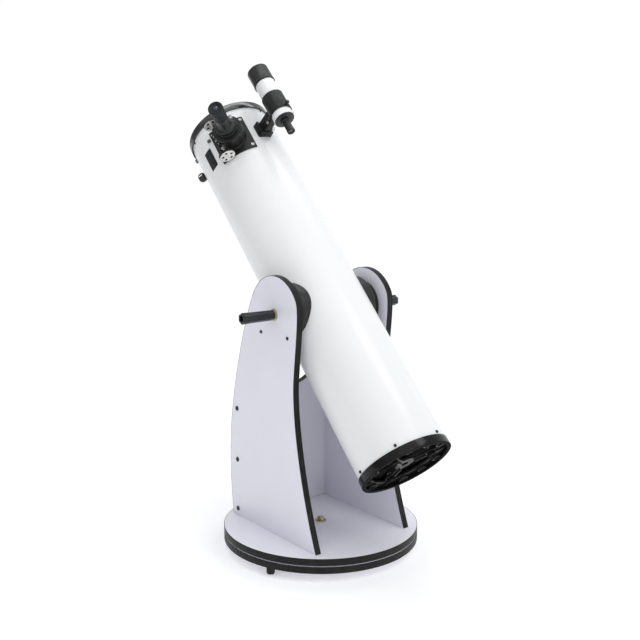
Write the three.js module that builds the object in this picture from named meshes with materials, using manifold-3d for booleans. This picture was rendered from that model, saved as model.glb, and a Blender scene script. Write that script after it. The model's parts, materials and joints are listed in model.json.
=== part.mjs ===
// Dobsonian telescope: a Newtonian tube that tilts on two round side bearings in a plywood rocker box,
// which turns on a round ground board.
// Millimetres. The origin is the point on the floor under the azimuth pivot: +Z is up, +X runs along the
// altitude axis, and the tube's open end looks up towards +Y, so the eyepiece and the finder face -Y.
import * as THREE from "three";
import { mergeVertices } from "three/addons/utils/BufferGeometryUtils.js";
import Module from "manifold-3d";

const wasm = await Module();
wasm.setup();

// ---- driving dimensions ----
const GAP = 0.3; // between pieces that touch
const deg = THREE.MathUtils.degToRad;
const BOARD_SIDES = 56;
const TUBE_SIDES = 40;
const PART_SIDES = 24;
const SMALL_SIDES = 12;

// base
const BOARD_RADIUS = 260;
const BOARD_THICKNESS = 18;
const BAND_THICKNESS = 1.2; // black edge banding on every visible board edge
const FOOT_HEIGHT = 24;
const PAD_THICKNESS = 2.1;
const GROUND_BOTTOM = FOOT_HEIGHT + GAP;
const GROUND_TOP = GROUND_BOTTOM + BOARD_THICKNESS;
const TURN_BOTTOM = GROUND_TOP + PAD_THICKNESS + 2 * GAP;
const TURN_TOP = TURN_BOTTOM + BOARD_THICKNESS;
const FOOT_CIRCLE = 236;
const FOOT_ANGLES = [80, 200, 320]; // degrees from +X
const PIVOT_RADIUS = 5;
const HEX_RADIUS = 9.8; // over the corners of the pivot's hexagons

// rocker box
const PANEL_THICKNESS = 17;
const PANEL_OUTER_X = 155.2;
const PANEL_INNER_X = PANEL_OUTER_X - PANEL_THICKNESS;
const PANEL_BOTTOM = TURN_TOP + GAP;
const AXIS_Y = -6; // altitude axis
const AXIS_Z = 643;
const HEAD_RADIUS = 105; // round head of a side panel
const HEAD_Z = 637;
const FRONT_INNER_Y = 159.3; // front panel
const FRONT_OUTER_Y = FRONT_INNER_Y + PANEL_THICKNESS;
const FRONT_HALF_WIDTH = PANEL_INNER_X - GAP;
const FRONT_SHOULDER_Z = 440;
const NOTCH_RADIUS = 150; // hollow in the front panel's top edge, under the tube
const NOTCH_BOTTOM_Z = 402;

// altitude bearings
const DRUM_RADIUS = 64;
const SADDLE_RADIUS = 78;
const SADDLE_HEIGHT = 7;
const CRADLE_RADIUS = 12.5;
const CRADLE_CIRCLE = 77;
const CRADLE_ANGLE = 42; // below the horizontal, on each side of the axis
const HANDLE_LENGTH = 98;
const HANDLE_RADIUS = 14;
const ROD_RADIUS = 5;

// optical tube: stations run along its axis from the altitude axis, positive towards the open end
const ALTITUDE = 46; // degrees above the horizon at rest
const TUBE_RADIUS = 117.1;
const TUBE_WALL = 1;
const BORE_RADIUS = TUBE_RADIUS - TUBE_WALL;
const TUBE_TOP = 630.5;
const TUBE_TAIL = -477;
const RING_LENGTH = 21;
const RING_LIP = 2.7;

// mirrors
const MIRROR_RADIUS = 101.5;
const MIRROR_THICKNESS = 25;
const MIRROR_BACK = -445.7;
const CELL_BOLT_CIRCLE = 70;
const CELL_BOLT_ANGLES = [90, 210, 330];
const SPIDER_STATION = 598;
const SPIDER_HALF_HEIGHT = 12;

// focuser: heights run outwards from the tube's axis along the focuser's axis
const FOCUSER_ANGLE = 42.6; // round the tube, from the top towards -X
const FOCUSER_STATION = 522;
const PLATE_LENGTH = 109;
const PLATE_WIDTH = 102;
const PLATE_TOP = 121.5;
const FLANGE_RADIUS = 40.5;
const FLANGE_TOP = 168;
const DRAWTUBE_RADIUS = 27;
const DRAWTUBE_BORE = 25.6;
const SHAFT_OFFSET = 32;
const SHAFT_HEIGHT = 141;
const KNOB_RADIUS = 22.3;
const KNOB_INNER_FACE = 52;
const KNOB_OUTER_FACE = 61;
const EYEPIECE_TOP = 270;

// finder: a small refractor on a dovetail shoe, parallel to the tube
const FINDER_ANGLE = -4;
const FINDER_HEIGHT = 203.5;
const FINDER_RADIUS = 27.8;
const SLEEVE_RADIUS = 30.6;
const COLLAR_RADIUS = 31.6;
const SHOE_START = 499;
const SHOE_LENGTH = 40;
const SLEEVE_START = 500;
const SLEEVE_END = 561;
const COLLAR_STATION = 506;

// side knob on the far side of the tube's mouth
const SIDE_KNOB_ANGLE = 146;
const SIDE_KNOB_STATION = 558;

// ---- materials ----
const paint = (color, roughness, metalness = 0) =>
  new THREE.MeshStandardMaterial({ color, roughness, metalness });
const laminate = paint(0xe6e4ea, 0.45);
const banding = paint(0x1d1d1c, 0.5);
const rubber = paint(0x191919, 0.85);
const nylon = paint(0xe9e7df, 0.5);
const plated = paint(0xb9b8b4, 0.3, 1);
const brass = paint(0x8f8450, 0.35, 1);
const enamel = paint(0xf3f3f1, 0.2);
const glossBlack = paint(0x141414, 0.15);
const castBlack = paint(0x1a1b1a, 0.5);
const anodised = paint(0x20211f, 0.35, 0.6);
const silver = paint(0xd9d8d4, 0.25, 1);
const plastic = paint(0x1b1c1c, 0.4);
const mirror = paint(0xe8eaec, 0.03, 1);
const glass = paint(0x3a4a5c, 0.05);

// ---- helpers: solids, joins and cuts ----

// A geometry as a manifold-3d solid, turned face out whichever way it was wound.
function solid(geometry) {
  const bare = geometry.clone();
  bare.deleteAttribute("normal");
  bare.deleteAttribute("uv");
  const merged = mergeVertices(bare, 1e-3);
  const build = (triVerts) =>
    new wasm.Manifold(
      new wasm.Mesh({ numProp: 3, vertProperties: merged.attributes.position.array, triVerts }),
    );
  const triangles = new Uint32Array(merged.index.array);
  const made = build(triangles);
  return made.volume() < 0 ? build(triangles.reverse()) : made;
}

// A solid back as a geometry.
function geometryOf(made) {
  const mesh = made.getMesh();
  return new THREE.BufferGeometry()
    .setAttribute("position", new THREE.BufferAttribute(new Float32Array(mesh.vertProperties), 3))
    .setIndex(new THREE.BufferAttribute(new Uint32Array(mesh.triVerts), 1));
}

const join = (...geometries) =>
  geometryOf(geometries.map(solid).reduce((whole, piece) => whole.add(piece)));

const cut = (geometry, ...tools) =>
  geometryOf(tools.map(solid).reduce((whole, tool) => whole.subtract(tool), solid(geometry)));

const common = (geometry, other) => geometryOf(solid(geometry).intersect(solid(other)));

// A closed geometry with its faces out.
const outward = (geometry) => geometryOf(solid(geometry));

// ---- helpers: shapes ----

// A round rod along Z between two heights; a second radius makes it a cone.
function rod(radius, from, to, sides = PART_SIDES, topRadius = radius) {
  return new THREE.CylinderGeometry(topRadius, radius, to - from, sides)
    .rotateX(Math.PI / 2)
    .translate(0, 0, (from + to) / 2);
}

// A profile of [radius, height] pairs turned about Z. A profile off the axis closes on itself.
function turned(profile, sides = PART_SIDES) {
  const points = profile.map(([radius, height]) => new THREE.Vector2(radius, height));
  if (profile[0][0] > 0) points.push(points[0].clone());
  return outward(new THREE.LatheGeometry(points, sides).rotateX(Math.PI / 2));
}

// A plain ring about Z.
const ring = (inner, outer, from, to, sides = PART_SIDES) =>
  turned([[inner, from], [outer, from], [outer, to], [inner, to]], sides);

// A box between two corners.
function block([x0, y0, z0], [x1, y1, z1]) {
  return new THREE.BoxGeometry(x1 - x0, y1 - y0, z1 - z0)
    .translate((x0 + x1) / 2, (y0 + y1) / 2, (z0 + z1) / 2);
}

// A flat outline of Vector2 points, extruded.
function slab(points, depth) {
  return new THREE.ExtrudeGeometry(new THREE.Shape(points), { depth, bevelEnabled: false });
}

// Z becomes X, so that a turned piece lies along X.
const alongX = (geometry) => geometry.rotateY(Math.PI / 2);

// An open line moved to its left by a distance, with mitred corners.
function offsetLine(points, distance) {
  return points.map((point, i) => {
    const before = points[Math.max(i - 1, 0)];
    const after = points[Math.min(i + 1, points.length - 1)];
    const arriving = point.clone().sub(before).normalize();
    const leaving = after.clone().sub(point).normalize();
    const along = arriving.clone().add(leaving).normalize();
    const stretch = 1 / Math.max(0.5, along.dot(i ? arriving : leaving));
    return new THREE.Vector2(-along.y, along.x).multiplyScalar(distance * stretch).add(point);
  });
}

// ---- scene graph ----
const telescope = new THREE.Group();

function piece(name, geometry, material, parent = telescope) {
  const mesh = new THREE.Mesh(geometry, material);
  mesh.name = name;
  parent.add(mesh);
  return mesh;
}

// The tube's own frame: Z along the optical axis, -Y its upper side, from the altitude axis.
const tubeFrame = new THREE.Group();
tubeFrame.position.set(0, AXIS_Y, AXIS_Z);
tubeFrame.rotation.x = -deg(90 - ALTITUDE);
telescope.add(tubeFrame);

// A frame on the tube's side at an angle from its upper side towards -X: X along the tube from a station,
// Z straight out from the tube's axis, Y round the tube.
function sideFrame(angle, station) {
  const frame = new THREE.Group();
  const out = new THREE.Vector3(-Math.sin(deg(angle)), -Math.cos(deg(angle)), 0);
  const along = new THREE.Vector3(0, 0, 1);
  const round = out.clone().cross(along);
  frame.quaternion.setFromRotationMatrix(new THREE.Matrix4().makeBasis(along, round, out));
  frame.position.set(0, 0, station);
  tubeFrame.add(frame);
  return frame;
}

// ---- ground board, feet, pads and pivot ----

function board(bottom, holeRadius) {
  const core = rod(BOARD_RADIUS - BAND_THICKNESS - GAP, bottom, bottom + BOARD_THICKNESS, BOARD_SIDES);
  return cut(core, rod(holeRadius, bottom - 1, bottom + BOARD_THICKNESS + 1, SMALL_SIDES));
}

const roundBand = (bottom) =>
  ring(BOARD_RADIUS - BAND_THICKNESS, BOARD_RADIUS, bottom, bottom + BOARD_THICKNESS, BOARD_SIDES);

function foot(angle) {
  const shape = turned([[0, 0], [10, 0], [11, 1.5], [11.5, FOOT_HEIGHT], [0, FOOT_HEIGHT]], 20);
  return shape.translate(FOOT_CIRCLE * Math.cos(deg(angle)), FOOT_CIRCLE * Math.sin(deg(angle)), 0);
}

function glidePad(angle) {
  const bottom = GROUND_TOP + GAP;
  return block([195, -14, bottom], [223, 14, bottom + PAD_THICKNESS]).rotateZ(deg(angle));
}

function addGround() {
  piece("ground_board", board(GROUND_BOTTOM, PIVOT_RADIUS + GAP), laminate);
  piece("ground_edge_band", roundBand(GROUND_BOTTOM), banding);
  FOOT_ANGLES.forEach((angle, i) => {
    piece(`foot_${i + 1}`, foot(angle), rubber);
    piece(`azimuth_pad_${i + 1}`, glidePad(angle), nylon);
  });
  const headTop = GROUND_BOTTOM - GAP;
  const boltEnd = TURN_TOP + 14;
  const head = rod(HEX_RADIUS, headTop - 7, headTop, 6);
  const shank = rod(PIVOT_RADIUS, headTop - 1, boltEnd, SMALL_SIDES);
  piece("pivot_bolt", join(head, shank), plated);
  const washerBottom = TURN_TOP + GAP;
  const washer = rod(15, washerBottom, washerBottom + 2);
  const nut = join(washer, rod(HEX_RADIUS, washerBottom + 1, washerBottom + 10, 6));
  const bore = rod(PIVOT_RADIUS + GAP, washerBottom - 1, washerBottom + 12, SMALL_SIDES);
  piece("pivot_nut", cut(nut, bore), brass);
}

// ---- rocker box ----

// The curved edge of a side panel in its own plane, y across and z up, from the front foot over the
// head to the rear foot.
function sidePanelEdge() {
  const edge = new THREE.Path();
  edge.moveTo(190, PANEL_BOTTOM);
  edge.bezierCurveTo(200, 120, 207, 215, 199, 300);
  const frontTangent = deg(30);
  const rearTangent = deg(150);
  const headFront = new THREE.Vector2(
    AXIS_Y + HEAD_RADIUS * Math.cos(frontTangent),
    HEAD_Z + HEAD_RADIUS * Math.sin(frontTangent),
  );
  edge.bezierCurveTo(192, 395, headFront.x + 55, headFront.y - 95, headFront.x, headFront.y);
  edge.absarc(AXIS_Y, HEAD_Z, HEAD_RADIUS, frontTangent, rearTangent, false);
  const headRear = edge.currentPoint.clone();
  edge.bezierCurveTo(headRear.x - 14, headRear.y - 24, -100, 600, -90, 500);
  edge.bezierCurveTo(-78, 400, -118, 215, -180, PANEL_BOTTOM);
  return edge.getPoints(8);
}

// Shape coordinates y, z and the depth along X.
const panelPlane = new THREE.Matrix4().makeBasis(
  new THREE.Vector3(0, 1, 0),
  new THREE.Vector3(0, 0, 1),
  new THREE.Vector3(1, 0, 0),
);

// Its ends stay on the panel's bottom edge.
function flattenEnds(points) {
  points[0].y = PANEL_BOTTOM;
  points.at(-1).y = PANEL_BOTTOM;
  return points;
}

function sidePanel(innerX) {
  const core = flattenEnds(offsetLine(sidePanelEdge(), BAND_THICKNESS + GAP));
  const panel = slab(core, PANEL_THICKNESS).applyMatrix4(panelPlane).translate(innerX, 0, 0);
  const hole = alongX(rod(ROD_RADIUS + 4, -1, PANEL_THICKNESS + 1, 16)).translate(innerX, AXIS_Y, AXIS_Z);
  return cut(panel, hole);
}

function sideBand(innerX) {
  const outer = sidePanelEdge();
  const inner = flattenEnds(offsetLine(outer, BAND_THICKNESS));
  const strip = slab([...outer, ...inner.reverse()], PANEL_THICKNESS);
  return outward(strip.applyMatrix4(panelPlane).translate(innerX, 0, 0));
}

// The front panel's top edge in its own plane, x across and z up, from +X to -X.
function frontTopEdge() {
  const centreZ = NOTCH_BOTTOM_Z + NOTCH_RADIUS;
  const reach = Math.acos((centreZ - FRONT_SHOULDER_Z) / NOTCH_RADIUS);
  const edge = new THREE.Path();
  edge.moveTo(FRONT_HALF_WIDTH, FRONT_SHOULDER_Z);
  edge.absarc(0, centreZ, NOTCH_RADIUS, reach - Math.PI / 2, -reach - Math.PI / 2, true);
  edge.lineTo(-FRONT_HALF_WIDTH, FRONT_SHOULDER_Z);
  return edge.getPoints(8);
}

// Shape coordinates x, z and the depth along -Y, from the front panel's outer face.
const frontPlane = new THREE.Matrix4()
  .makeBasis(new THREE.Vector3(1, 0, 0), new THREE.Vector3(0, 0, 1), new THREE.Vector3(0, -1, 0))
  .setPosition(0, FRONT_OUTER_Y, 0);

function frontPanel() {
  const top = offsetLine(frontTopEdge(), BAND_THICKNESS + GAP);
  const corners = [
    new THREE.Vector2(-FRONT_HALF_WIDTH, PANEL_BOTTOM),
    new THREE.Vector2(FRONT_HALF_WIDTH, PANEL_BOTTOM),
  ];
  return outward(slab([...top, ...corners], PANEL_THICKNESS).applyMatrix4(frontPlane));
}

function frontBand() {
  const outer = frontTopEdge();
  const inner = offsetLine(outer, BAND_THICKNESS).reverse();
  return outward(slab([...outer, ...inner], PANEL_THICKNESS).applyMatrix4(frontPlane));
}

// A bent grip on two round feet, on the front panel's outer face.
function carryHandle() {
  const height = 330;
  const halfSpan = 55;
  const standOff = 38;
  const face = FRONT_OUTER_Y + GAP;
  const rise = [[halfSpan, 2], [halfSpan, 22], [40, standOff]];
  const leftRise = rise.map(([x, y]) => [-x, y]);
  const bend = [...leftRise, [0, standOff], ...rise.reverse()];
  const places = bend.map(([x, y]) => new THREE.Vector3(x, face + y, height));
  const route = new THREE.CatmullRomCurve3(places, false, "centripetal");
  const section = new THREE.Shape().absarc(0, 0, 8, 0, 2 * Math.PI);
  const grip = new THREE.ExtrudeGeometry(section, { extrudePath: route, steps: 12, curveSegments: 5 });
  const plates = [-halfSpan, halfSpan].map((x) =>
    rod(14, 0, 4, 16).rotateX(-Math.PI / 2).translate(x, face, height),
  );
  return join(grip, ...plates);
}

// A nylon cylinder on the inside of a side panel, which the altitude drum rests on.
function cradle(side, angle) {
  const y = AXIS_Y + CRADLE_CIRCLE * Math.cos(deg(angle));
  const z = AXIS_Z + CRADLE_CIRCLE * Math.sin(deg(angle));
  const wall = PANEL_INNER_X - GAP;
  const tip = TUBE_RADIUS + SADDLE_HEIGHT + 2;
  const [from, to] = side < 0 ? [-wall, -tip] : [tip, wall];
  return alongX(rod(CRADLE_RADIUS, from, to, 20)).translate(0, y, z);
}

function addRocker() {
  piece("azimuth_board", board(TURN_BOTTOM, PIVOT_RADIUS + 1), laminate);
  piece("azimuth_edge_band", roundBand(TURN_BOTTOM), banding);
  for (const [word, side] of [["left", -1], ["right", 1]]) {
    const innerX = side < 0 ? -PANEL_OUTER_X : PANEL_INNER_X;
    piece(`side_panel_${word}`, sidePanel(innerX), laminate);
    piece(`edge_band_${word}`, sideBand(innerX), banding);
    piece(`cradle_${word}_front`, cradle(side, -CRADLE_ANGLE), nylon);
    piece(`cradle_${word}_rear`, cradle(side, CRADLE_ANGLE - 180), nylon);
  }
  piece("front_panel", frontPanel(), laminate);
  piece("front_edge_band", frontBand(), banding);
  piece("carry_handle", carryHandle(), plastic);
}

// ---- optical tube ----

const onTube = (geometry) => cut(geometry, rod(TUBE_RADIUS + GAP, -300, 300, TUBE_SIDES));

// The steel tube, with the focuser's hole and four small holes for the spider's studs.
function tubeShell() {
  const cover = RING_LIP + GAP;
  const shell = ring(BORE_RADIUS, TUBE_RADIUS, TUBE_TAIL + cover, TUBE_TOP - cover, TUBE_SIDES);
  const focuserHole = rod(31, 90, 130, 24)
    .rotateX(Math.PI / 2)
    .rotateZ(-deg(FOCUSER_ANGLE))
    .translate(0, 0, FOCUSER_STATION);
  const studHoles = vaneAngles.map((angle) =>
    rod(2.6, 100, 130, 12).rotateX(Math.PI / 2).rotateZ(deg(angle)).translate(0, 0, SPIDER_STATION),
  );
  return cut(shell, focuserHole, ...studHoles);
}

// A rolled end ring that caps the tube's edge: a band outside and a lip over the end.
function endRing(lipEnd, inwards, outerRadius, lipRadius) {
  const at = (distance) => lipEnd + inwards * distance;
  const profile = [
    [lipRadius, at(0)],
    [outerRadius - 2.5, at(0)],
    [outerRadius, at(2.5)],
    [outerRadius, at(RING_LENGTH - 1)],
    [outerRadius - 1, at(RING_LENGTH)],
    [TUBE_RADIUS + GAP, at(RING_LENGTH)],
    [TUBE_RADIUS + GAP, at(RING_LIP)],
    [lipRadius, at(RING_LIP)],
  ];
  return turned(profile, TUBE_SIDES);
}

const FRAME_BACK = -466;
const FRAME_FRONT = -460;

// A piece made along the tube's axis, moved to one of the collimation screws.
const atCellBolt = (geometry, angle) =>
  geometry.translate(CELL_BOLT_CIRCLE, 0, 0).rotateZ(deg(angle));

// The fixed end casting: a rim, three spokes and a hub, drilled for the collimation screws.

function cellFrame() {
  const rim = ring(103, BORE_RADIUS - GAP, FRAME_BACK, FRAME_FRONT, TUBE_SIDES);
  const spokes = CELL_BOLT_ANGLES.map((angle) =>
    block([12, -9, FRAME_BACK], [106, 9, FRAME_FRONT]).rotateZ(deg(angle)),
  );
  const bosses = CELL_BOLT_ANGLES.map((angle) => atCellBolt(rod(14, FRAME_BACK, FRAME_FRONT, 16), angle));
  const holes = CELL_BOLT_ANGLES.map((angle) =>
    atCellBolt(rod(3.3, FRAME_BACK - 1, FRAME_FRONT + 1, SMALL_SIDES), angle),
  );
  const hub = ring(9, 26, FRAME_BACK, FRAME_FRONT, 20);
  return cut(join(rim, hub, ...spokes, ...bosses), ...holes);
}

// The floating cell: a pierced plate with three clips that reach over the mirror's edge.
function mirrorCell() {
  const back = MIRROR_BACK - GAP - 6;
  const top = MIRROR_BACK - GAP;
  const mirrorFront = MIRROR_BACK + MIRROR_THICKNESS;
  const plate = rod(MIRROR_RADIUS + 4, back, top, TUBE_SIDES);
  const windows = [30, 150, 270].map((angle) =>
    rod(24, back - 1, top + 1, 16).translate(55, 0, 0).rotateZ(deg(angle)),
  );
  const clips = CELL_BOLT_ANGLES.map((angle) =>
    join(
      block([MIRROR_RADIUS + 0.6, -10, top - 1], [MIRROR_RADIUS + 4.4, 10, mirrorFront + 3]),
      block([MIRROR_RADIUS - 4, -10, mirrorFront + 1], [MIRROR_RADIUS + 4.4, 10, mirrorFront + 3]),
    ).rotateZ(deg(angle)),
  );
  return join(cut(plate, ...windows, rod(16, back - 1, top + 1, 16)), ...clips);
}

// A glass disc with a hollow front face.
function primaryMirror() {
  const front = MIRROR_BACK + MIRROR_THICKNESS;
  const sagitta = 2.2;
  const face = [1, 0.75, 0.5, 0.25, 0].map((part) => [
    MIRROR_RADIUS * part,
    front - sagitta * (1 - part * part),
  ]);
  return turned([[0, MIRROR_BACK], [MIRROR_RADIUS, MIRROR_BACK], ...face], TUBE_SIDES);
}

function collimationKnob(angle) {
  const headTop = FRAME_BACK - GAP;
  const head = rod(11, headTop - 8, headTop, 16);
  const screw = rod(2.7, headTop - 1, MIRROR_BACK - GAP - 6 - GAP, 12);
  return atCellBolt(join(head, screw), angle);
}

// Four thin vanes and a hub. Each vane ends in a stud through the tube, with a round nut outside.
const vaneAngles = [45, 135, 225, 315];
const HUB_BORE = 4.4;

function spider() {
  const bottom = SPIDER_STATION - SPIDER_HALF_HEIGHT;
  const top = SPIDER_STATION + SPIDER_HALF_HEIGHT;
  const hub = rod(16, bottom - 2, top + 2, 20);
  const vanes = vaneAngles.map((angle) => {
    const vane = block([10, -0.6, bottom], [BORE_RADIUS - 2, 0.6, top]);
    const heel = block([BORE_RADIUS - 4, -4, SPIDER_STATION - 9], [BORE_RADIUS - 1, 4, SPIDER_STATION + 9]);
    const stud = rod(2, BORE_RADIUS - 3, TUBE_RADIUS + 4, 8);
    const nut = rod(5, TUBE_RADIUS + GAP, TUBE_RADIUS + 5, SMALL_SIDES);
    const fixing = alongX(join(stud, nut)).translate(0, 0, SPIDER_STATION);
    return join(vane, heel, fixing).rotateZ(deg(angle));
  });
  return cut(join(hub, ...vanes), rod(HUB_BORE, bottom - 5, top + 5, 16));
}

// Everything behind the diagonal plane through the focuser's station, moved back by a distance.
function behindDiagonal(distance) {
  const size = 200;
  const half = block([-size, -size, -size], [size, size, -distance]);
  const out = new THREE.Vector3(-Math.sin(deg(FOCUSER_ANGLE)), -Math.cos(deg(FOCUSER_ANGLE)), 0);
  const normal = out.add(new THREE.Vector3(0, 0, -1)).normalize();
  const turn = new THREE.Quaternion().setFromUnitVectors(new THREE.Vector3(0, 0, 1), normal);
  return half.applyQuaternion(turn).translate(0, 0, FOCUSER_STATION);
}

const SECONDARY_THICKNESS = 6;

function secondaryMirror() {
  const blank = common(rod(25, FOCUSER_STATION - 60, FOCUSER_STATION + 60), behindDiagonal(0));
  return cut(blank, behindDiagonal(SECONDARY_THICKNESS));
}

// The holder's body behind the mirror, and the centre bolt that hangs it in the spider's hub.
function secondaryHolder() {
  const top = SPIDER_STATION - SPIDER_HALF_HEIGHT - 8;
  const hubTop = SPIDER_STATION + SPIDER_HALF_HEIGHT + 2;
  const body = common(rod(24, FOCUSER_STATION - 60, top), behindDiagonal(SECONDARY_THICKNESS + GAP));
  const bolt = rod(HUB_BORE - GAP, top - 5, hubTop + 6, 16);
  const nut = rod(8, hubTop + GAP, hubTop + 6, 6);
  return join(body, bolt, nut);
}

// A drum on a saddle that follows the tube, with a blind hole for the handle's rod.
function altitudeBearing(side) {
  const drumEnd = PANEL_INNER_X - 1.4;
  const across = (geometry) => geometry.rotateX(Math.PI / 2).rotateZ(Math.PI / 2);
  const drum = across(rod(DRUM_RADIUS, 90, drumEnd, TUBE_SIDES));
  const saddleDisc = across(rod(SADDLE_RADIUS, 60, drumEnd, TUBE_SIDES));
  const saddle = common(saddleDisc, rod(TUBE_RADIUS + SADDLE_HEIGHT, -120, 120, TUBE_SIDES));
  const hole = across(rod(ROD_RADIUS + 0.5, TUBE_RADIUS + 3, drumEnd + 1, 16));
  const bearing = cut(onTube(join(drum, saddle)), hole);
  return side > 0 ? bearing : bearing.rotateZ(Math.PI);
}

// The grip that clamps a side panel against its drum: a six-sided handle, a collar and a threaded rod.
function tensionHandle(side) {
  const collarFace = PANEL_OUTER_X + GAP;
  const end = PANEL_OUTER_X + HANDLE_LENGTH;
  const grip = rod(HANDLE_RADIUS, collarFace + 3, end, 6);
  const collar = rod(15.5, collarFace, collarFace + 4, 20);
  const shank = rod(ROD_RADIUS, TUBE_RADIUS + 5, collarFace + 6, SMALL_SIDES);
  const recess = rod(9, end - 14, end + 1, 6);
  const handle = cut(join(grip, collar, shank), recess);
  return alongX(handle).rotateZ(side > 0 ? 0 : Math.PI);
}

function addTube() {
  piece("tube_shell", tubeShell(), enamel, tubeFrame);
  piece("front_ring", endRing(TUBE_TOP, -1, TUBE_RADIUS + 4.4, BORE_RADIUS - 3), glossBlack, tubeFrame);
  piece("rear_ring", endRing(TUBE_TAIL, 1, TUBE_RADIUS + 3, BORE_RADIUS - 7), glossBlack, tubeFrame);
  piece("cell_frame", cellFrame(), castBlack, tubeFrame);
  piece("mirror_cell", mirrorCell(), castBlack, tubeFrame);
  piece("primary_mirror", primaryMirror(), mirror, tubeFrame);
  CELL_BOLT_ANGLES.forEach((angle, i) =>
    piece(`collimation_knob_${i + 1}`, collimationKnob(angle), plastic, tubeFrame),
  );
  piece("spider", spider(), anodised, tubeFrame);
  piece("secondary_holder", secondaryHolder(), anodised, tubeFrame);
  piece("secondary_mirror", secondaryMirror(), mirror, tubeFrame);
  piece("altitude_bearing_left", altitudeBearing(-1), plastic, tubeFrame);
  piece("altitude_bearing_right", altitudeBearing(1), plastic, tubeFrame);
  piece("tension_handle_left", tensionHandle(-1), plastic, tubeFrame);
  piece("tension_handle_right", tensionHandle(1), plastic, tubeFrame);
}

// ---- focuser, in its own frame: Z is its axis and starts on the tube's axis, X is along the tube ----

// A cylinder round the tube's axis, in a side frame.
const roundTube = (radius, halfLength) => alongX(rod(radius, -halfLength, halfLength, 72));

// The curved plate, the body and its flange, and the block that carries the focusing shaft.
function focuserHousing() {
  const halfLength = PLATE_LENGTH / 2;
  const halfWidth = PLATE_WIDTH / 2;
  const blank = block([-halfLength, -halfWidth, 90], [halfLength, halfWidth, 130]);
  const plate = common(blank, roundTube(PLATE_TOP, 80));
  const body = turned(
    [
      [0, 100],
      [38, 100],
      [38, 125],
      [FLANGE_RADIUS - 2, 157],
      [FLANGE_RADIUS, 158],
      [FLANGE_RADIUS, FLANGE_TOP],
      [0, FLANGE_TOP],
    ],
    PART_SIDES,
  );
  const shaftBlock = block([-26, 12, 104], [26, 44, 152]);
  const whole = cut(join(plate, body, shaftBlock), roundTube(TUBE_RADIUS + GAP, 80));
  const bore = rod(DRAWTUBE_RADIUS + 0.4, 80, FLANGE_TOP + 5, PART_SIDES);
  const shaftHole = alongX(rod(3.4, -40, 40, 16)).translate(0, SHAFT_OFFSET, SHAFT_HEIGHT);
  const lockHole = atLock(rod(2.3, DRAWTUBE_RADIUS - 2, FLANGE_RADIUS + 2, SMALL_SIDES));
  return cut(whole, bore, shaftHole, lockHole);
}

const LOCK_HEIGHT = 152;
const LOCK_TURN = 140; // degrees round the focuser's axis from its X

// A piece made along Z, laid along X and moved to the lock screw's place.
const atLock = (geometry) => alongX(geometry).rotateZ(deg(LOCK_TURN)).translate(0, 0, LOCK_HEIGHT);

// A thumbscrew that presses on the side of the drawtube.
function lockScrew() {
  const headStart = FLANGE_RADIUS + GAP;
  const head = rod(6.5, headStart, headStart + 4, 16);
  return atLock(join(head, rod(2, DRAWTUBE_RADIUS + 0.6, headStart + 1, SMALL_SIDES)));
}

// The drawtube with the flange that stops it against the housing.
function drawtube() {
  const flangeBottom = FLANGE_TOP + GAP;
  return turned(
    [
      [DRAWTUBE_BORE, 100],
      [DRAWTUBE_RADIUS, 100],
      [DRAWTUBE_RADIUS, flangeBottom],
      [30, flangeBottom],
      [30, ADAPTER_FACE - GAP],
      [DRAWTUBE_BORE, ADAPTER_FACE - GAP],
    ],
    PART_SIDES,
  );
}

const ADAPTER_FACE = 178;
const EYEPIECE_FACE = 225;
const EYEPIECE_BARREL = 15.85;
const NECK_RADIUS = 18.3;

// The reducer: a wide barrel in the drawtube, a flange on it and a narrower neck for the eyepiece.
function adapter() {
  const shape = turned(
    [
      [EYEPIECE_BARREL + 0.4, 150],
      [DRAWTUBE_BORE - 0.4, 150],
      [DRAWTUBE_BORE - 0.4, ADAPTER_FACE],
      [27.5, ADAPTER_FACE],
      [27.5, 186],
      [NECK_RADIUS, 190],
      [NECK_RADIUS, EYEPIECE_FACE - GAP],
      [EYEPIECE_BARREL + 0.4, EYEPIECE_FACE - GAP],
    ],
    PART_SIDES,
  );
  return cut(shape, clampBore());
}

const CLAMP_HEIGHT = 212;
const CLAMP_TURN = -100; // degrees round the focuser's axis, on the side away from the tube's mouth

const clampBore = () =>
  alongX(rod(2, 10, 30, 12)).translate(0, 0, CLAMP_HEIGHT).rotateZ(deg(CLAMP_TURN));

function clampScrew() {
  const tip = rod(1.6, EYEPIECE_BARREL + GAP, 24, 12);
  const head = rod(5, NECK_RADIUS + GAP + 1, NECK_RADIUS + 10.5, 18);
  return alongX(join(tip, head)).translate(0, 0, CLAMP_HEIGHT).rotateZ(deg(CLAMP_TURN));
}

// A 1.25 inch eyepiece: its barrel, a body with a grip and a flat cap with the eye lens.
function eyepiece() {
  return turned(
    [
      [0, 200],
      [EYEPIECE_BARREL, 200],
      [EYEPIECE_BARREL, EYEPIECE_FACE],
      [17.6, EYEPIECE_FACE],
      [17.6, 231],
      [19.3, 233],
      [19.3, EYEPIECE_TOP - 8],
      [18.6, EYEPIECE_TOP - 2],
      [17, EYEPIECE_TOP],
      [11, EYEPIECE_TOP],
      [9, EYEPIECE_TOP - 4],
      [0, EYEPIECE_TOP - 4],
    ],
    PART_SIDES,
  );
}

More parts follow.
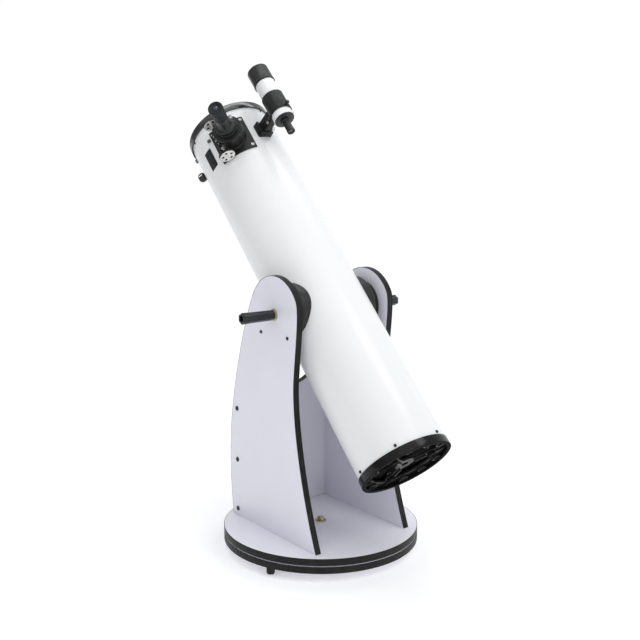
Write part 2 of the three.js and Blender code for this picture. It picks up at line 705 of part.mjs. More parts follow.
// A silver focusing wheel with a pattern of five shallow holes in its face.
function focusKnob(side) {
  const wheel = rod(KNOB_RADIUS, KNOB_INNER_FACE, KNOB_OUTER_FACE, PART_SIDES);
  const shaftSeat = rod(3.3, KNOB_INNER_FACE - 1, KNOB_OUTER_FACE - 5, SMALL_SIDES);
  const dimples = [0, 72, 144, 216, 288].map((angle) =>
    rod(3.4, KNOB_OUTER_FACE - 3, KNOB_OUTER_FACE + 1, 8).translate(13, 0, 0).rotateZ(deg(angle)),
  );
  const knob = alongX(cut(wheel, shaftSeat, ...dimples));
  return (side > 0 ? knob : knob.rotateZ(Math.PI)).translate(0, SHAFT_OFFSET, SHAFT_HEIGHT);
}

const focusShaft = () => {
  const end = KNOB_OUTER_FACE - 5.5;
  return alongX(rod(3, -end, end, 16)).translate(0, SHAFT_OFFSET, SHAFT_HEIGHT);
};

function addFocuser() {
  const frame = sideFrame(FOCUSER_ANGLE, FOCUSER_STATION);
  piece("focuser_housing", focuserHousing(), castBlack, frame);
  piece("focus_shaft", focusShaft(), plated, frame);
  piece("focus_knob_front", focusKnob(1), silver, frame);
  piece("focus_knob_rear", focusKnob(-1), silver, frame);
  piece("focus_lock_screw", lockScrew(), anodised, frame);
  piece("drawtube", drawtube(), anodised, frame);
  piece("eyepiece_adapter", adapter(), anodised, frame);
  piece("adapter_clamp_screw", clampScrew(), plated, frame);
  piece("eyepiece", eyepiece(), rubber, frame);
}

// ---- finder, in its own frame: Z runs out from the tube's axis, X along the tube ----

// A dovetail bar's outline across the tube, wider at its foot.
function dovetail(topHalf, bottomHalf, bottom, top, from, to) {
  const outline = [
    new THREE.Vector2(-bottomHalf, bottom),
    new THREE.Vector2(bottomHalf, bottom),
    new THREE.Vector2(topHalf, top),
    new THREE.Vector2(-topHalf, top),
  ];
  return slab(outline, to - from).applyMatrix4(panelPlane).translate(from, 0, 0);
}

const SHOE_TOP = 134;
const SHOE_SHIFT = 5; // of the shoe and the stalk from the finder's axis, towards the focuser
const SHOE_SCREW_X = 520;
const SHOE_SCREW_Z = 128.8;

function finderShoe() {
  const end = SHOE_START + SHOE_LENGTH;
  const foot = block([SHOE_START, -20, 100], [end, 20, SHOE_TOP]);
  const groove = dovetail(13.1, 16.1, 124.2, SHOE_TOP + 0.1, SHOE_START + 4, end + 1);
  const screwHole = rod(2.4, -25, 0, SMALL_SIDES)
    .rotateX(-Math.PI / 2)
    .translate(SHOE_SCREW_X, 0, SHOE_SCREW_Z);
  const tube = alongX(rod(TUBE_RADIUS + GAP, 400, 700, 72));
  return cut(cut(foot, groove, screwHole).translate(0, SHOE_SHIFT, 0), tube);
}

function shoeScrew() {
  const shape = join(rod(2, -33, -15.9, SMALL_SIDES), rod(6, -34, -24, 16));
  return shape.rotateX(-Math.PI / 2).translate(SHOE_SCREW_X, SHOE_SHIFT, SHOE_SCREW_Z);
}

// The bracket: a dovetail foot, a stalk and a sleeve round the finder, with a thicker rear collar.
function finderBracket() {
  const sleeve = onFinder(rod(SLEEVE_RADIUS, SLEEVE_START, SLEEVE_END));
  const collar = onFinder(rod(COLLAR_RADIUS, SLEEVE_START - 1, SLEEVE_START + 12));
  const stalkTop = FINDER_HEIGHT - FINDER_RADIUS + 5;
  const stalk = block([SHOE_START + 4.4, -10.5, 130], [SHOE_START + 37, 10.5, stalkTop]);
  const foot = dovetail(12.6, 15.6, 124.6, SHOE_TOP, SHOE_START + 4.4, SHOE_START + 37);
  const bore = onFinder(rod(FINDER_RADIUS + 1.2, SLEEVE_START - 5, SLEEVE_END + 5));
  const holes = [0, 90, 225].map((angle) => collarHole(angle));
  const lower = join(stalk, foot).translate(0, SHOE_SHIFT, 0);
  return cut(join(sleeve, collar, lower), bore, ...holes);
}

// Screws stand out of the collar at an angle from straight out, round the finder's axis.
const atCollar = (geometry, angle) =>
  geometry.rotateX(deg(angle)).translate(COLLAR_STATION, 0, FINDER_HEIGHT);

const collarHole = (angle) =>
  atCollar(rod(2.3, FINDER_RADIUS, COLLAR_RADIUS + 5, SMALL_SIDES), angle);

function collarScrew(angle) {
  const tip = rod(2, FINDER_RADIUS + 0.9, COLLAR_RADIUS + 4, SMALL_SIDES);
  const head = rod(5, COLLAR_RADIUS + 2, COLLAR_RADIUS + 11, 16);
  return atCollar(join(tip, head), angle);
}

function springPlunger() {
  const pin = rod(2, FINDER_RADIUS + 0.9, COLLAR_RADIUS + 4, SMALL_SIDES);
  const cap = rod(4.5, COLLAR_RADIUS + 3, COLLAR_RADIUS + 7, 16);
  return atCollar(join(pin, cap), 225);
}

const REAR_HOUSING_START = 475;
const FINDER_TUBE_START = 480;
const SHIELD_START = 609;
const SHIELD_END = 661;

const onFinder = (geometry) => alongX(geometry).translate(0, 0, FINDER_HEIGHT);

// The tube, with a wider rim behind the bracket.
function finderTube() {
  const start = FINDER_TUBE_START + GAP;
  const rimEnd = SLEEVE_START - 1.5;
  const end = SHIELD_START - GAP;
  const profile = [
    [FINDER_RADIUS - 2, start],
    [FINDER_RADIUS + 1, start],
    [FINDER_RADIUS + 1, rimEnd],
    [FINDER_RADIUS, rimEnd],
    [FINDER_RADIUS, end],
    [FINDER_RADIUS - 2, end],
  ];
  return onFinder(turned(profile));
}

function finderRearHousing() {
  const profile = [
    [9.4, REAR_HOUSING_START],
    [20, REAR_HOUSING_START],
    [26.6, REAR_HOUSING_START + 1],
    [27.6, REAR_HOUSING_START + 2],
    [27.6, FINDER_TUBE_START],
    [9.4, FINDER_TUBE_START],
  ];
  return onFinder(turned(profile));
}

function finderShield() {
  const profile = [
    [FINDER_RADIUS - 1.5, SHIELD_START],
    [FINDER_RADIUS + 2.6, SHIELD_START],
    [FINDER_RADIUS + 2.6, SHIELD_START + 8],
    [FINDER_RADIUS + 2, SHIELD_START + 9],
    [FINDER_RADIUS + 2, SHIELD_END],
    [FINDER_RADIUS, SHIELD_END],
    [FINDER_RADIUS, SHIELD_START + 24],
    [FINDER_RADIUS - 1.5, SHIELD_START + 24],
  ];
  return onFinder(turned(profile));
}

const finderObjective = () =>
  onFinder(turned([[0, 617], [25.6, 618.5], [25.6, 623], [14, 625], [0, 625.6]]));

function finderEyepiece() {
  const profile = [
    [0, 436],
    [8, 434],
    [11, 434],
    [11, 441],
    [10.2, 443],
    [10.2, REAR_HOUSING_START - GAP - 4],
    [12.6, REAR_HOUSING_START - GAP - 3],
    [12.6, REAR_HOUSING_START - GAP],
    [9, REAR_HOUSING_START - GAP],
    [9, REAR_HOUSING_START + 12],
    [0, REAR_HOUSING_START + 12],
  ];
  return onFinder(turned(profile, 24));
}

function addFinder() {
  const frame = sideFrame(FINDER_ANGLE, 0);
  piece("finder_shoe", finderShoe(), castBlack, frame);
  piece("shoe_screw", shoeScrew(), plated, frame);
  piece("finder_bracket", finderBracket(), castBlack, frame);
  piece("bracket_screw_top", collarScrew(0), plastic, frame);
  piece("bracket_screw_side", collarScrew(90), plastic, frame);
  piece("spring_plunger", springPlunger(), plated, frame);
  piece("finder_tube", finderTube(), enamel, frame);
  piece("finder_rear_housing", finderRearHousing(), plastic, frame);
  piece("finder_dew_shield", finderShield(), plastic, frame);
  piece("finder_objective", finderObjective(), glass, frame);
  piece("finder_eyepiece", finderEyepiece(), plastic, frame);
}

// ---- round knob on a stud, near the tube's mouth ----

function addSideKnob() {
  const knob = turned(
    [
      [0, TUBE_RADIUS + GAP + 0.2],
      [8, TUBE_RADIUS + GAP + 0.2],
      [8, TUBE_RADIUS + 2.5],
      [5, TUBE_RADIUS + 3.5],
      [9.5, TUBE_RADIUS + 5],
      [13.5, TUBE_RADIUS + 10],
      [13.5, TUBE_RADIUS + 18],
      [9.5, TUBE_RADIUS + 24],
      [0, TUBE_RADIUS + 26],
    ],
    24,
  );
  piece("side_knob", knob, plastic, sideFrame(SIDE_KNOB_ANGLE, SIDE_KNOB_STATION));
}

addGround();
addRocker();
addTube();
addFocuser();
addFinder();
addSideKnob();

export default telescope;
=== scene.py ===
import json
import math

import bmesh
import bpy
from mathutils import Matrix, Vector


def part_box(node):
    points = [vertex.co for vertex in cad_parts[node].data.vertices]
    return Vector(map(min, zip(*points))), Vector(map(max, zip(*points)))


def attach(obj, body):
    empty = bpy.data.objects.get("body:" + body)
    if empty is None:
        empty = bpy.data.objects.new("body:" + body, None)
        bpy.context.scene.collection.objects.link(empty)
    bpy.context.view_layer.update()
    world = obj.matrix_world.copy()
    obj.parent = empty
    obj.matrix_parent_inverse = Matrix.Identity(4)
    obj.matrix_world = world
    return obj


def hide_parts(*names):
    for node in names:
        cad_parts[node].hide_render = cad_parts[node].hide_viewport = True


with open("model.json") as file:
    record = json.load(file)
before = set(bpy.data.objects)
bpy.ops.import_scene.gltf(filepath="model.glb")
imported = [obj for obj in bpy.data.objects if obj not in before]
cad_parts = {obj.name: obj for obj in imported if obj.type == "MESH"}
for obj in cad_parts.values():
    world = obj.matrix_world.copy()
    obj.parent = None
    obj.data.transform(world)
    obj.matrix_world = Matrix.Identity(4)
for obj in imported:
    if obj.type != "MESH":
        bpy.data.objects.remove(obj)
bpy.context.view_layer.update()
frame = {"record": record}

MM = 0.001
GAP = 0.3  # between neighbouring parts
TURN = 2 * math.pi
SHARP_ANGLE = 32  # a steeper edge isn't shaded smooth
NO_MOVE = Matrix.Identity(4)
Z_TO_X = Matrix.Rotation(math.radians(90), 4, "Y")
Z_TO_Y = Matrix.Rotation(math.radians(-90), 4, "X")

# ---- the frame's own places ----

RECORD = frame["record"]["behaviour"]
JOINTS = {joint["name"]: joint for joint in RECORD["joints"]}
BODY_OF = {node: body for body, nodes in RECORD["bodies"].items() for node in nodes}


def joint_place(name):
    return Vector(JOINTS[name]["pos_m"]) / MM


def joint_axis(name):
    return Vector(JOINTS[name]["axis"]).normalized()


def place(origin, x, z):
    """The matrix of a frame with that origin, X and Z."""
    matrix = Matrix((x, z.cross(x), z)).transposed().to_4x4()
    matrix.translation = origin
    return matrix


def at(x, y, z):
    return Matrix.Translation((x, y, z))


def spin(angle, axis="Z"):
    return Matrix.Rotation(math.radians(angle), 4, axis)


ALTITUDE_AXIS = joint_place("altitude")
# Shape coordinates y, z and the depth along X.
PROFILE_PLANE = place(Vector((0, 0, 0)), Vector((0, 1, 0)), Vector((1, 0, 0)))
TUBE = place(ALTITUDE_AXIS, Vector((1, 0, 0)), joint_axis("finder_bracket_lift_out"))


def side_place(angle, station):
    """On the tube: X along it from a station, Z straight out at an angle from its top towards -X."""
    turn = math.radians(angle)
    out = TUBE.to_3x3() @ Vector((-math.sin(turn), -math.cos(turn), 0))
    return place(TUBE @ Vector((0, 0, station)), TUBE.col[2].to_3d(), out)


def station_of(point):
    """How far along the tube a point lies."""
    return (TUBE.inverted() @ point).z


# ---- driving dimensions ----

BOARD_RADIUS = 260
BOARD_THICKNESS = 18
TAPE = 1.2  # edge banding
GROUND_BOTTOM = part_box("ground_board")[0].z / MM
TURN_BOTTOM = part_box("azimuth_board")[0].z / MM
TURN_TOP = TURN_BOTTOM + BOARD_THICKNESS
FOOT_CIRCLE = 236
FOOT_ANGLES = (80, 200, 320)  # the pads' too
PAD_START = 195
PAD_END = 223

PANEL_OUTER_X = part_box("side_panel_right")[1].x / MM
PANEL_INNER_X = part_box("side_panel_right")[0].x / MM
PANEL_THICKNESS = PANEL_OUTER_X - PANEL_INNER_X
PANEL_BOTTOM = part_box("side_panel_right")[0].z / MM
FRONT_INNER_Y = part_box("front_panel")[0].y / MM
FRONT_OUTER_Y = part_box("front_panel")[1].y / MM
FRONT_HALF_WIDTH = PANEL_INNER_X - GAP
HEAD_RADIUS = 105
HEAD_Z = ALTITUDE_AXIS.z - 6
CRADLE_CIRCLE = 77
CRADLE_ANGLE = 42

TUBE_RADIUS = 117.1
BORE_RADIUS = 116.1
TUBE_TOP = 630.5
TUBE_TAIL = -477
RING_LENGTH = 21
DRUM_RADIUS = 64

FOCUSER_ANGLE = 42.6
FINDER_ANGLE = -4
FOCUSER = side_place(FOCUSER_ANGLE, station_of(joint_place("focusing_shaft_turn")))
FINDER = side_place(FINDER_ANGLE, 0)
FINDER_HEIGHT = 203.5
FINDER_RADIUS = 27.8
ON_FINDER = FINDER @ at(0, 0, FINDER_HEIGHT) @ Z_TO_X
SHAFT_CENTRE = at(0, 32, 141)  # in the focuser's frame
SPIDER_STATION = 598

# ---- outlines ----


def rounded(points, closed=True, steps=5):
    """The outline with every corner (x, y, radius) turned into an arc. Corners (x, y) stay sharp."""
    result = []
    for i, corner in enumerate(points):
        here = Vector(corner[:2])
        if len(corner) < 3 or (not closed and i in (0, len(points) - 1)):
            result.append((here.x, here.y))
            continue
        radius = corner[2]
        back = (Vector(points[i - 1][:2]) - here).normalized()
        ahead = (Vector(points[(i + 1) % len(points)][:2]) - here).normalized()
        half = back.angle(ahead) / 2
        centre = here + (back + ahead).normalized() * (radius / math.sin(half))
        start = here + back * (radius / math.tan(half)) - centre
        end = here + ahead * (radius / math.tan(half)) - centre
        first = math.atan2(start.y, start.x)
        swept = (math.atan2(end.y, end.x) - first + math.pi) % TURN - math.pi
        for step in range(steps + 1):
            angle = first + swept * step / steps
            result.append((centre.x + radius * math.cos(angle), centre.y + radius * math.sin(angle)))
    return result


def bezier(a, b, c, d, steps=24):
    """Points of a cubic curve, without its last one."""
    a, b, c, d = (Vector(point) for point in (a, b, c, d))
    points = []
    for step in range(steps):
        t = step / steps
        s = 1 - t
        points.append(a * s**3 + b * (3 * s * s * t) + c * (3 * s * t * t) + d * t**3)
    return points


def arc(centre, radius, start, end, steps=32):
    points = []
    for step in range(steps + 1):
        angle = math.radians(start + (end - start) * step / steps)
        points.append(Vector((centre[0] + radius * math.cos(angle), centre[1] + radius * math.sin(angle))))
    return points


def offset_line(points, distance):
    """An open line moved to its left, with mitred corners."""
    line = []
    for i, point in enumerate(points):
        before = points[max(i - 1, 0)]
        after = points[min(i + 1, len(points) - 1)]
        arriving = (point - before).normalized()
        leaving = (after - point).normalized()
        along = (arriving + leaving).normalized()
        stretch = 1 / max(0.5, along.dot(arriving if i else leaving))
        line.append(point + Vector((-along.y, along.x)) * distance * stretch)
    return line


# ---- shapes: closed meshes in millimetres ----


def skin(bm, first, second):
    """Faces between two rings of points, either of which may be a single point."""
    count = max(len(first), len(second))
    for i in range(count):
        j = (i + 1) % count
        corners = []
        for points in (first, second):
            corners.append([points[0]] if len(points) == 1 else [points[i], points[j]])
        bm.faces.new(corners[0] + corners[1][::-1])


def skin_all(bm, rings, ends=True):
    """Faces between all neighbouring rings and, where asked, over both ends."""
    for first, second in zip(rings, rings[1:]):
        skin(bm, first, second)
    if ends:
        bm.faces.new(rings[0][::-1])
        bm.faces.new(rings[-1])


def turned(profile, sides=96):
    """A profile of (radius, height) points turned about Z. A third entry gives the radius a form, a factor
    for each angle. A profile off the axis closes on itself."""
    bm = bmesh.new()
    rings = []
    for point in profile:
        radius, height = point[:2]
        if radius < 1e-6:
            rings.append([bm.verts.new((0, 0, height))])
            continue
        rings.append([])
        for step in range(sides):
            angle = TURN * step / sides
            size = radius * (point[2](angle) if len(point) > 2 else 1)
            rings[-1].append(bm.verts.new((size * math.cos(angle), size * math.sin(angle), height)))
    skin_all(bm, rings, ends=False)
    if profile[0][0] > 1e-6:
        skin(bm, rings[-1], rings[0])
    return bm


def six_sided(angle):
    """A circle through the corners becomes a hexagon."""
    return math.cos(math.pi / 6) / math.cos(angle % (TURN / 6) - math.pi / 6)


def ridged(count, depth):
    """Round ridges, such as a grip's or a knurl's."""
    return lambda angle: 1 - depth * (0.5 - 0.5 * math.cos(count * angle))


def disc(radius, low, high, edge=0.5, sides=64):
    """A solid round with softened rims."""
    return turned(rounded([(0, low), (radius, low, edge), (radius, high, edge), (0, high)], False, 3), sides)


def ring(inner, outer, low, high, edge=0.4, sides=96):
    corners = [(inner, low, edge), (outer, low, edge), (outer, high, edge), (inner, high, edge)]
    return hollow(corners, sides)


def hollow(corners, sides=128):
    """A hollow turned part: an outline off the axis, with its corners rounded."""
    return turned(rounded(corners, True, 3), sides)


def slab(outline, low, high, edge=0.0):
    """A flat outline extruded along Z, with its rims softened."""
    bm = bmesh.new()
    bottom = [bm.verts.new((x, y, low)) for x, y in outline]
    top = [bm.verts.new((x, y, high)) for x, y in outline]
    bm.faces.new(bottom[::-1])
    bm.faces.new(top)
    skin(bm, bottom, top)
    if edge:
        rims = [e for e in bm.edges if abs(e.verts[0].co.z - e.verts[1].co.z) < 1e-6]
        bmesh.ops.bevel(bm, geom=rims, offset=edge, segments=2, profile=0.5, affect="EDGES")
    return bm


def block(low, high, edge=0.6):
    """A box between two corners, with all its edges softened."""
    bm = bmesh.new()
    bmesh.ops.create_cube(bm, size=1)
    for vert in bm.verts:
        for k in range(3):
            vert.co[k] = high[k] if vert.co[k] > 0 else low[k]
    bmesh.ops.bevel(bm, geom=bm.edges[:], offset=edge, segments=3, profile=0.5, affect="EDGES")
    return bm


def link(data, name):
    """A new object in the scene."""
    result = bpy.data.objects.new(name, data)
    bpy.context.scene.collection.objects.link(result)
    return result


def moved(shape, matrix):
    shape.transform(matrix)
    return shape


def sweep(path, radius, sides=24):
    """A round bar along a path, with flat ends."""
    bm = bmesh.new()
    rings = []
    across = Vector((0, 0, 1))
    for i, point in enumerate(path):
        tangent = (path[min(i + 1, len(path) - 1)] - path[max(i - 1, 0)]).normalized()
        across = (across - tangent * across.dot(tangent)).normalized()
        other = tangent.cross(across)
        rings.append([])
        for step in range(sides):
            angle = TURN * step / sides
            offset = across * math.cos(angle) + other * math.sin(angle)
            rings[-1].append(bm.verts.new(point + offset * radius))
    skin_all(bm, rings)
    return bm


def boolean(shape, others, operation):
    """One shape joined with, cut by or limited to others."""
    for other in others:
        pair = []
        for bm in (shape, other):
            bmesh.ops.recalc_face_normals(bm, faces=bm.faces)
            mesh = bpy.data.meshes.new("operand")
            bm.to_mesh(mesh)
            bm.free()
            pair.append(link(mesh, "operand"))
        modifier = pair[0].modifiers.new("boolean", "BOOLEAN")
        modifier.operation = operation
        modifier.object = pair[1]
        modifier.solver = "EXACT"
        bpy.context.view_layer.update()
        result = pair[0].evaluated_get(bpy.context.evaluated_depsgraph_get())
        shape = bmesh.new()
        shape.from_mesh(result.to_mesh())
        for operand in pair:
            mesh = operand.data
            bpy.data.objects.remove(operand)
            bpy.data.meshes.remove(mesh)
    return shape


def cut(shape, *tools):
    return boolean(shape, tools, "DIFFERENCE")


def join(shape, *others):
    return boolean(shape, others, "UNION")


def common(shape, other):
    return boolean(shape, [other], "INTERSECT")


def thread(radius, low, high, pitch=1.25):
    """Profile points of a screw thread, from low to high."""
    points = []
    count = max(1, int((high - low) / pitch))
    for i in range(count):
        start = low + (high - low) * i / count
        points += [(radius * 0.86, start), (radius, start + (high - low) / count / 2)]
    return points + [(radius * 0.86, high)]


# ---- pieces ----


def add(name, shape, material, body, where=NO_MOVE):
    """A piece that moves with a body."""
    bmesh.ops.remove_doubles(shape, verts=shape.verts, dist=1e-4)
    bmesh.ops.recalc_face_normals(shape, faces=shape.faces)
    for face in shape.faces:
        face.smooth = True
    for edge in shape.edges:
        edge.smooth = len(edge.link_faces) == 2 and edge.calc_face_angle(0) < math.radians(SHARP_ANGLE)
    shape.transform(where)
    shape.transform(Matrix.Scale(MM, 4))
    mesh = bpy.data.meshes.new(name)
    shape.to_mesh(mesh)
    shape.free()
    mesh.materials.append(material)
    result = link(mesh, name)
    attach(result, body)
    return result


def refine(node, shape, material, where=NO_MOVE):
    """A finer piece in place of a CAD node."""
    result = add("fine_" + node, shape, material, BODY_OF[node], where)
    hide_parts(node)
    return result


# ---- materials ----


def fill(target, inputs):
    """Each named input of a node gets a value, or a link from another node's socket."""
    for name, value in inputs.items():
        if isinstance(value, bpy.types.NodeSocket):
            target.id_data.links.new(value, target.inputs[name])
        else:
            target.inputs[name].default_value = value


def make_node(tree, kind, inputs, **settings):
    made = tree.nodes.new(kind)
    for key, value in settings.items():
        setattr(made, key, value)
    fill(made, inputs)
    return made


def coordinates(tree, kind="Object"):
    return make_node(tree, "ShaderNodeTexCoord", {}).outputs[kind]


def noise(tree, per_metre, detail, vector=None):
    inputs = {"Vector": vector or coordinates(tree), "Scale": per_metre, "Detail": detail}
    return make_node(tree, "ShaderNodeTexNoise", inputs).outputs["Fac"]


def spread(tree, value, low, high):
    """A noise value, mostly between 0.3 and 0.7, mapped to a range."""
    inputs = {"Value": value, "From Min": 0.3, "From Max": 0.7, "To Min": low, "To Max": high}
    return make_node(tree, "ShaderNodeMapRange", inputs).outputs["Result"]


def bump(shader, height, depth, strength=1.0):
    """Relief of a depth in millimetres, on top of any that the shader already has."""
    inputs = {"Strength": strength, "Distance": depth * MM, "Height": height}
    for under in shader.inputs["Normal"].links:
        inputs["Normal"] = under.from_socket
    relief = make_node(shader.id_data, "ShaderNodeBump", inputs)
    fill(shader, {"Normal": relief.outputs["Normal"]})


def shader_in(material):
    return material.node_tree.nodes["Principled BSDF"]


def finish(name, dark, light, patches, gloss=(), relief=(), metallic=0.0, specular=0.5):
    """A surface mottled between two colours. patches is noise per metre and its detail; gloss is the lowest
    and highest roughness and their noise; relief is noise and a depth in millimetres."""
    material = bpy.data.materials.new(name)
    material.use_nodes = True
    tree = material.node_tree
    shader = shader_in(material)
    share = spread(tree, noise(tree, *patches), 0, 1)
    colors = {"A": (*dark, 1), "B": (*light, 1), "Factor": share}
    mix = make_node(tree, "ShaderNodeMix", colors, data_type="RGBA")
    fill(shader, {"Base Color": mix.outputs["Result"], "Metallic": metallic, "Specular IOR Level": specular})
    if gloss:
        low, high, *scale = gloss
        fill(shader, {"Roughness": spread(tree, noise(tree, *scale), low, high)})
    if relief:
        *scale, depth = relief
        bump(shader, noise(tree, *scale), depth)
    return material


def turned_finish(name, where, dark, light, patches, gloss, depth, metallic=0.0, specular=0.5):
    """A mottled surface with the fine rings that a lathe leaves round the Z axis of a place."""
    material = finish(name, dark, light, patches, metallic=metallic, specular=specular)
    tree = material.node_tree
    location, rotation, scale = (where.inverted() @ Matrix.Scale(1 / MM, 4)).decompose()
    mapping = {"Location": location, "Rotation": rotation.to_euler(), "Scale": scale}
    local = make_node(tree, "ShaderNodeMapping", {"Vector": coordinates(tree), **mapping}).outputs["Vector"]
    parts = make_node(tree, "ShaderNodeSeparateXYZ", {"Vector": local}).outputs
    flat = make_node(tree, "ShaderNodeCombineXYZ", {"X": parts["X"], "Y": parts["Y"]}).outputs["Vector"]
    radius = make_node(tree, "ShaderNodeVectorMath", {0: flat}, operation="LENGTH").outputs["Value"]
    rings = make_node(tree, "ShaderNodeCombineXYZ", {"X": radius, "Y": parts["Z"]}).outputs["Vector"]
    marks = noise(tree, 2.2, 1, rings)  # per millimetre, since the rings are in millimetres
    fill(shader_in(material), {"Roughness": spread(tree, marks, *gloss)})
    bump(shader_in(material), marks, depth)
    return material


def white_enamel():
    """Baked gloss paint on rolled steel, with a trace of orange peel."""
    dark, light = (0.78, 0.79, 0.785), (0.795, 0.805, 0.8)
    return finish("white_enamel", dark, light, (5, 2), (0.235, 0.265, 14, 2), (320, 2, 0.004), specular=0.4)


def flat_black():
    """Matt paint inside the tube, and on the mirror's castings."""
    dark, light = (0.005, 0.005, 0.005), (0.01, 0.01, 0.01)
    material = finish("flat_black", dark, light, (60, 4), relief=(900, 3, 0.05), specular=0.1)
    fill(shader_in(material), {"Roughness": 0.85})
    return material


def laminate():
    """Satin white melamine with a fine pearl texture and a faint lavender cast."""
    dark, light = (0.75, 0.74, 0.81), (0.77, 0.76, 0.83)
    material = finish("laminate", dark, light, (9, 3), (0.36, 0.46, 70, 3), (1400, 2, 0.02))
    bump(shader_in(material), noise(material.node_tree, 30, 2), 0.06, 0.4)
    return material


def edge_tape():
    """Black plastic tape with a shallow grain, worn a little lighter in spots."""
    dark, light = (0.008, 0.008, 0.0075), (0.018, 0.018, 0.016)
    return finish("edge_tape", dark, light, (45, 5), (0.36, 0.52, 90, 3), (700, 3, 0.05), specular=0.16)


def gloss_black(name, specular):
    """Thick gloss paint on the rolled end rings."""
    dark, light = (0.004, 0.004, 0.0035), (0.009, 0.009, 0.008)
    return finish(name, dark, light, (25, 3), (0.12, 0.22, 60, 4), (240, 2, 0.015), specular=specular)


def cast_black():
    """Satin black paint over a die casting: fine pits, softly varied sheen."""
    dark, light = (0.006, 0.0065, 0.0055), (0.014, 0.0155, 0.013)
    return finish("cast_black", dark, light, (60, 4), (0.3, 0.46, 110, 3), (800, 3, 0.06), specular=0.28)


def moulded_black():
    """Satin black plastic straight from the mould."""
    dark, light = (0.006, 0.0065, 0.0065), (0.013, 0.0135, 0.0135)
    return finish("moulded_black", dark, light, (35, 3), (0.28, 0.42, 80, 3), (1100, 2, 0.03), specular=0.42)


def black_rubber():
    """Dull black rubber with a dusty bloom."""
    dark, light = (0.006, 0.006, 0.008), (0.014, 0.014, 0.017)
    return finish("black_rubber", dark, light, (90, 5), (0.4, 0.6, 140, 3), (900, 3, 0.06), specular=0.3)


def anodised(name, where):
    """Black anodised aluminium with the rings that turning leaves."""
    dark, light = (0.005, 0.0055, 0.0055), (0.012, 0.0125, 0.0125)
    return turned_finish(name, where, dark, light, (80, 3), (0.24, 0.4), 0.02, specular=0.4)


def silver_lacquer(where):
    """Silver lacquer on the turned faces of the focus wheels."""
    light = Vector((0.8, 0.79, 0.77))
    return turned_finish("silver_wheel", where, 0.85 * light, light, (120, 4), (0.3, 0.42), 0.012, 0.5)


def plated_steel(name, shade):
    """Zinc plated screws and nuts, bright or dull."""
    color = Vector((0.6, 0.59, 0.57)) * shade
    return finish(name, 0.84 * color, 1.1 * color, (300, 4), (0.22, 0.42, 500, 3), (1500, 2, 0.01), 1.0)


def yellow_plated():
    """Yellow passivated steel."""
    dark, light = (0.42, 0.38, 0.2), (0.58, 0.52, 0.3)
    return finish("yellow_plated", dark, light, (150, 4), (0.24, 0.42, 300, 3), (1200, 2, 0.01), 1.0)


def black_screw():
    """Blackened steel screw heads."""
    dark, light = (0.018, 0.017, 0.019), (0.05, 0.048, 0.052)
    return finish("black_screw", dark, light, (400, 4), (0.26, 0.42, 600, 3), (1500, 2, 0.01), 0.6)


def nylon():
    """Off-white bearing plastic, slightly translucent to the eye."""
    dark, light = (0.74, 0.73, 0.68), (0.8, 0.79, 0.75)
    material = finish("nylon", dark, light, (70, 3), (0.34, 0.48, 120, 3), (700, 2, 0.02))
    fill(shader_in(material), {"Subsurface Weight": 0.1, "Subsurface Scale": 0.002})
    return material


def mirror_coating():
    """Aluminised glass with a breath of dust."""
    dark, light = (0.9, 0.9, 0.91), (0.94, 0.94, 0.95)
    return finish("mirror_coating", dark, light, (350, 4), (0.01, 0.05, 180, 5), metallic=1.0)


def coated_glass():
    """Lens glass with a violet-green antireflection sheen."""
    dark, light = (0.008, 0.01, 0.024), (0.014, 0.01, 0.02)
    material = finish("coated_glass", dark, light, (15, 2), (0.01, 0.05, 250, 4))
    coat = {"Coat Weight": 1.0, "Coat Roughness": 0.02, "Coat Tint": (0.7, 0.75, 1.0, 1)}
    fill(shader_in(material), coat)
    return material


def pale_floor():
    """A seamless studio floor with a slight glow of its own."""
    dark, light = (0.915, 0.915, 0.915), (0.925, 0.925, 0.925)
    material = finish("pale_floor", dark, light, (2, 2), relief=(300, 2, 0.02), specular=0.2)
    glow = {"Emission Color": (1, 1, 1, 1), "Emission Strength": FLOOR_GLOW}
    fill(shader_in(material), {"Roughness": 0.8, **glow})
    return material


ENAMEL = white_enamel()
FLAT_BLACK = flat_black()
LAMINATE = laminate()
EDGE_TAPE = edge_tape()
GLOSS_BLACK = gloss_black("gloss_black", 1.0)
SOFT_GLOSS_BLACK = gloss_black("soft_gloss_black", 0.2)
CAST_BLACK = cast_black()
MOULDED = moulded_black()
RUBBER = black_rubber()
ANODISED = anodised("anodised", FOCUSER)
ANODISED_TUBE = anodised("anodised_in_tube", TUBE)
SILVER = silver_lacquer(FOCUSER @ SHAFT_CENTRE @ Z_TO_X)
STEEL = plated_steel("plated_steel", 1.0)
DULL_STEEL = plated_steel("dull_steel", 0.35)
YELLOW = yellow_plated()
SCREW_BLACK = black_screw()
NYLON = nylon()
MIRROR = mirror_coating()
GLASS = coated_glass()

# ---- screws and nuts ----


def socket_head(radius, height, key=0.5):
    """A cap screw's head on Z = 0, with a hexagon socket. key is the socket's size against the head's."""
    flat = key * radius
    outside = rounded([(0, 0), (radius, 0), (radius, height, 0.15 * radius), (flat, height)], False, 4)
    socket = [(flat, height, six_sided), (flat, height * 0.4, six_sided), (0, height * 0.35)]
    return turned(outside[:-1] + socket, 48)


def dome_head(radius, height):
    """A pan head with a cross recess left as a shallow cone."""
    crown = [(radius * math.cos(a), height * (0.4 + 0.6 * math.sin(a))) for a in (0, 0.4, 0.8, 1.15)]
    return turned([(0, 0), (radius, 0), *crown, (radius * 0.25, height * 0.8), (0, height * 0.5)], 36)


def hex_nut(radius, height, bore):
    """A chamfered nut round a bore."""
    rim = 0.93 * radius
    profile = [
        (bore, 0), (rim, 0, six_sided), (radius, height * 0.12, six_sided),
        (radius, height * 0.88, six_sided), (rim, height, six_sided), (bore, height),
    ]
    return turned(profile, 48)


# ---- ground board, feet and pivot ----


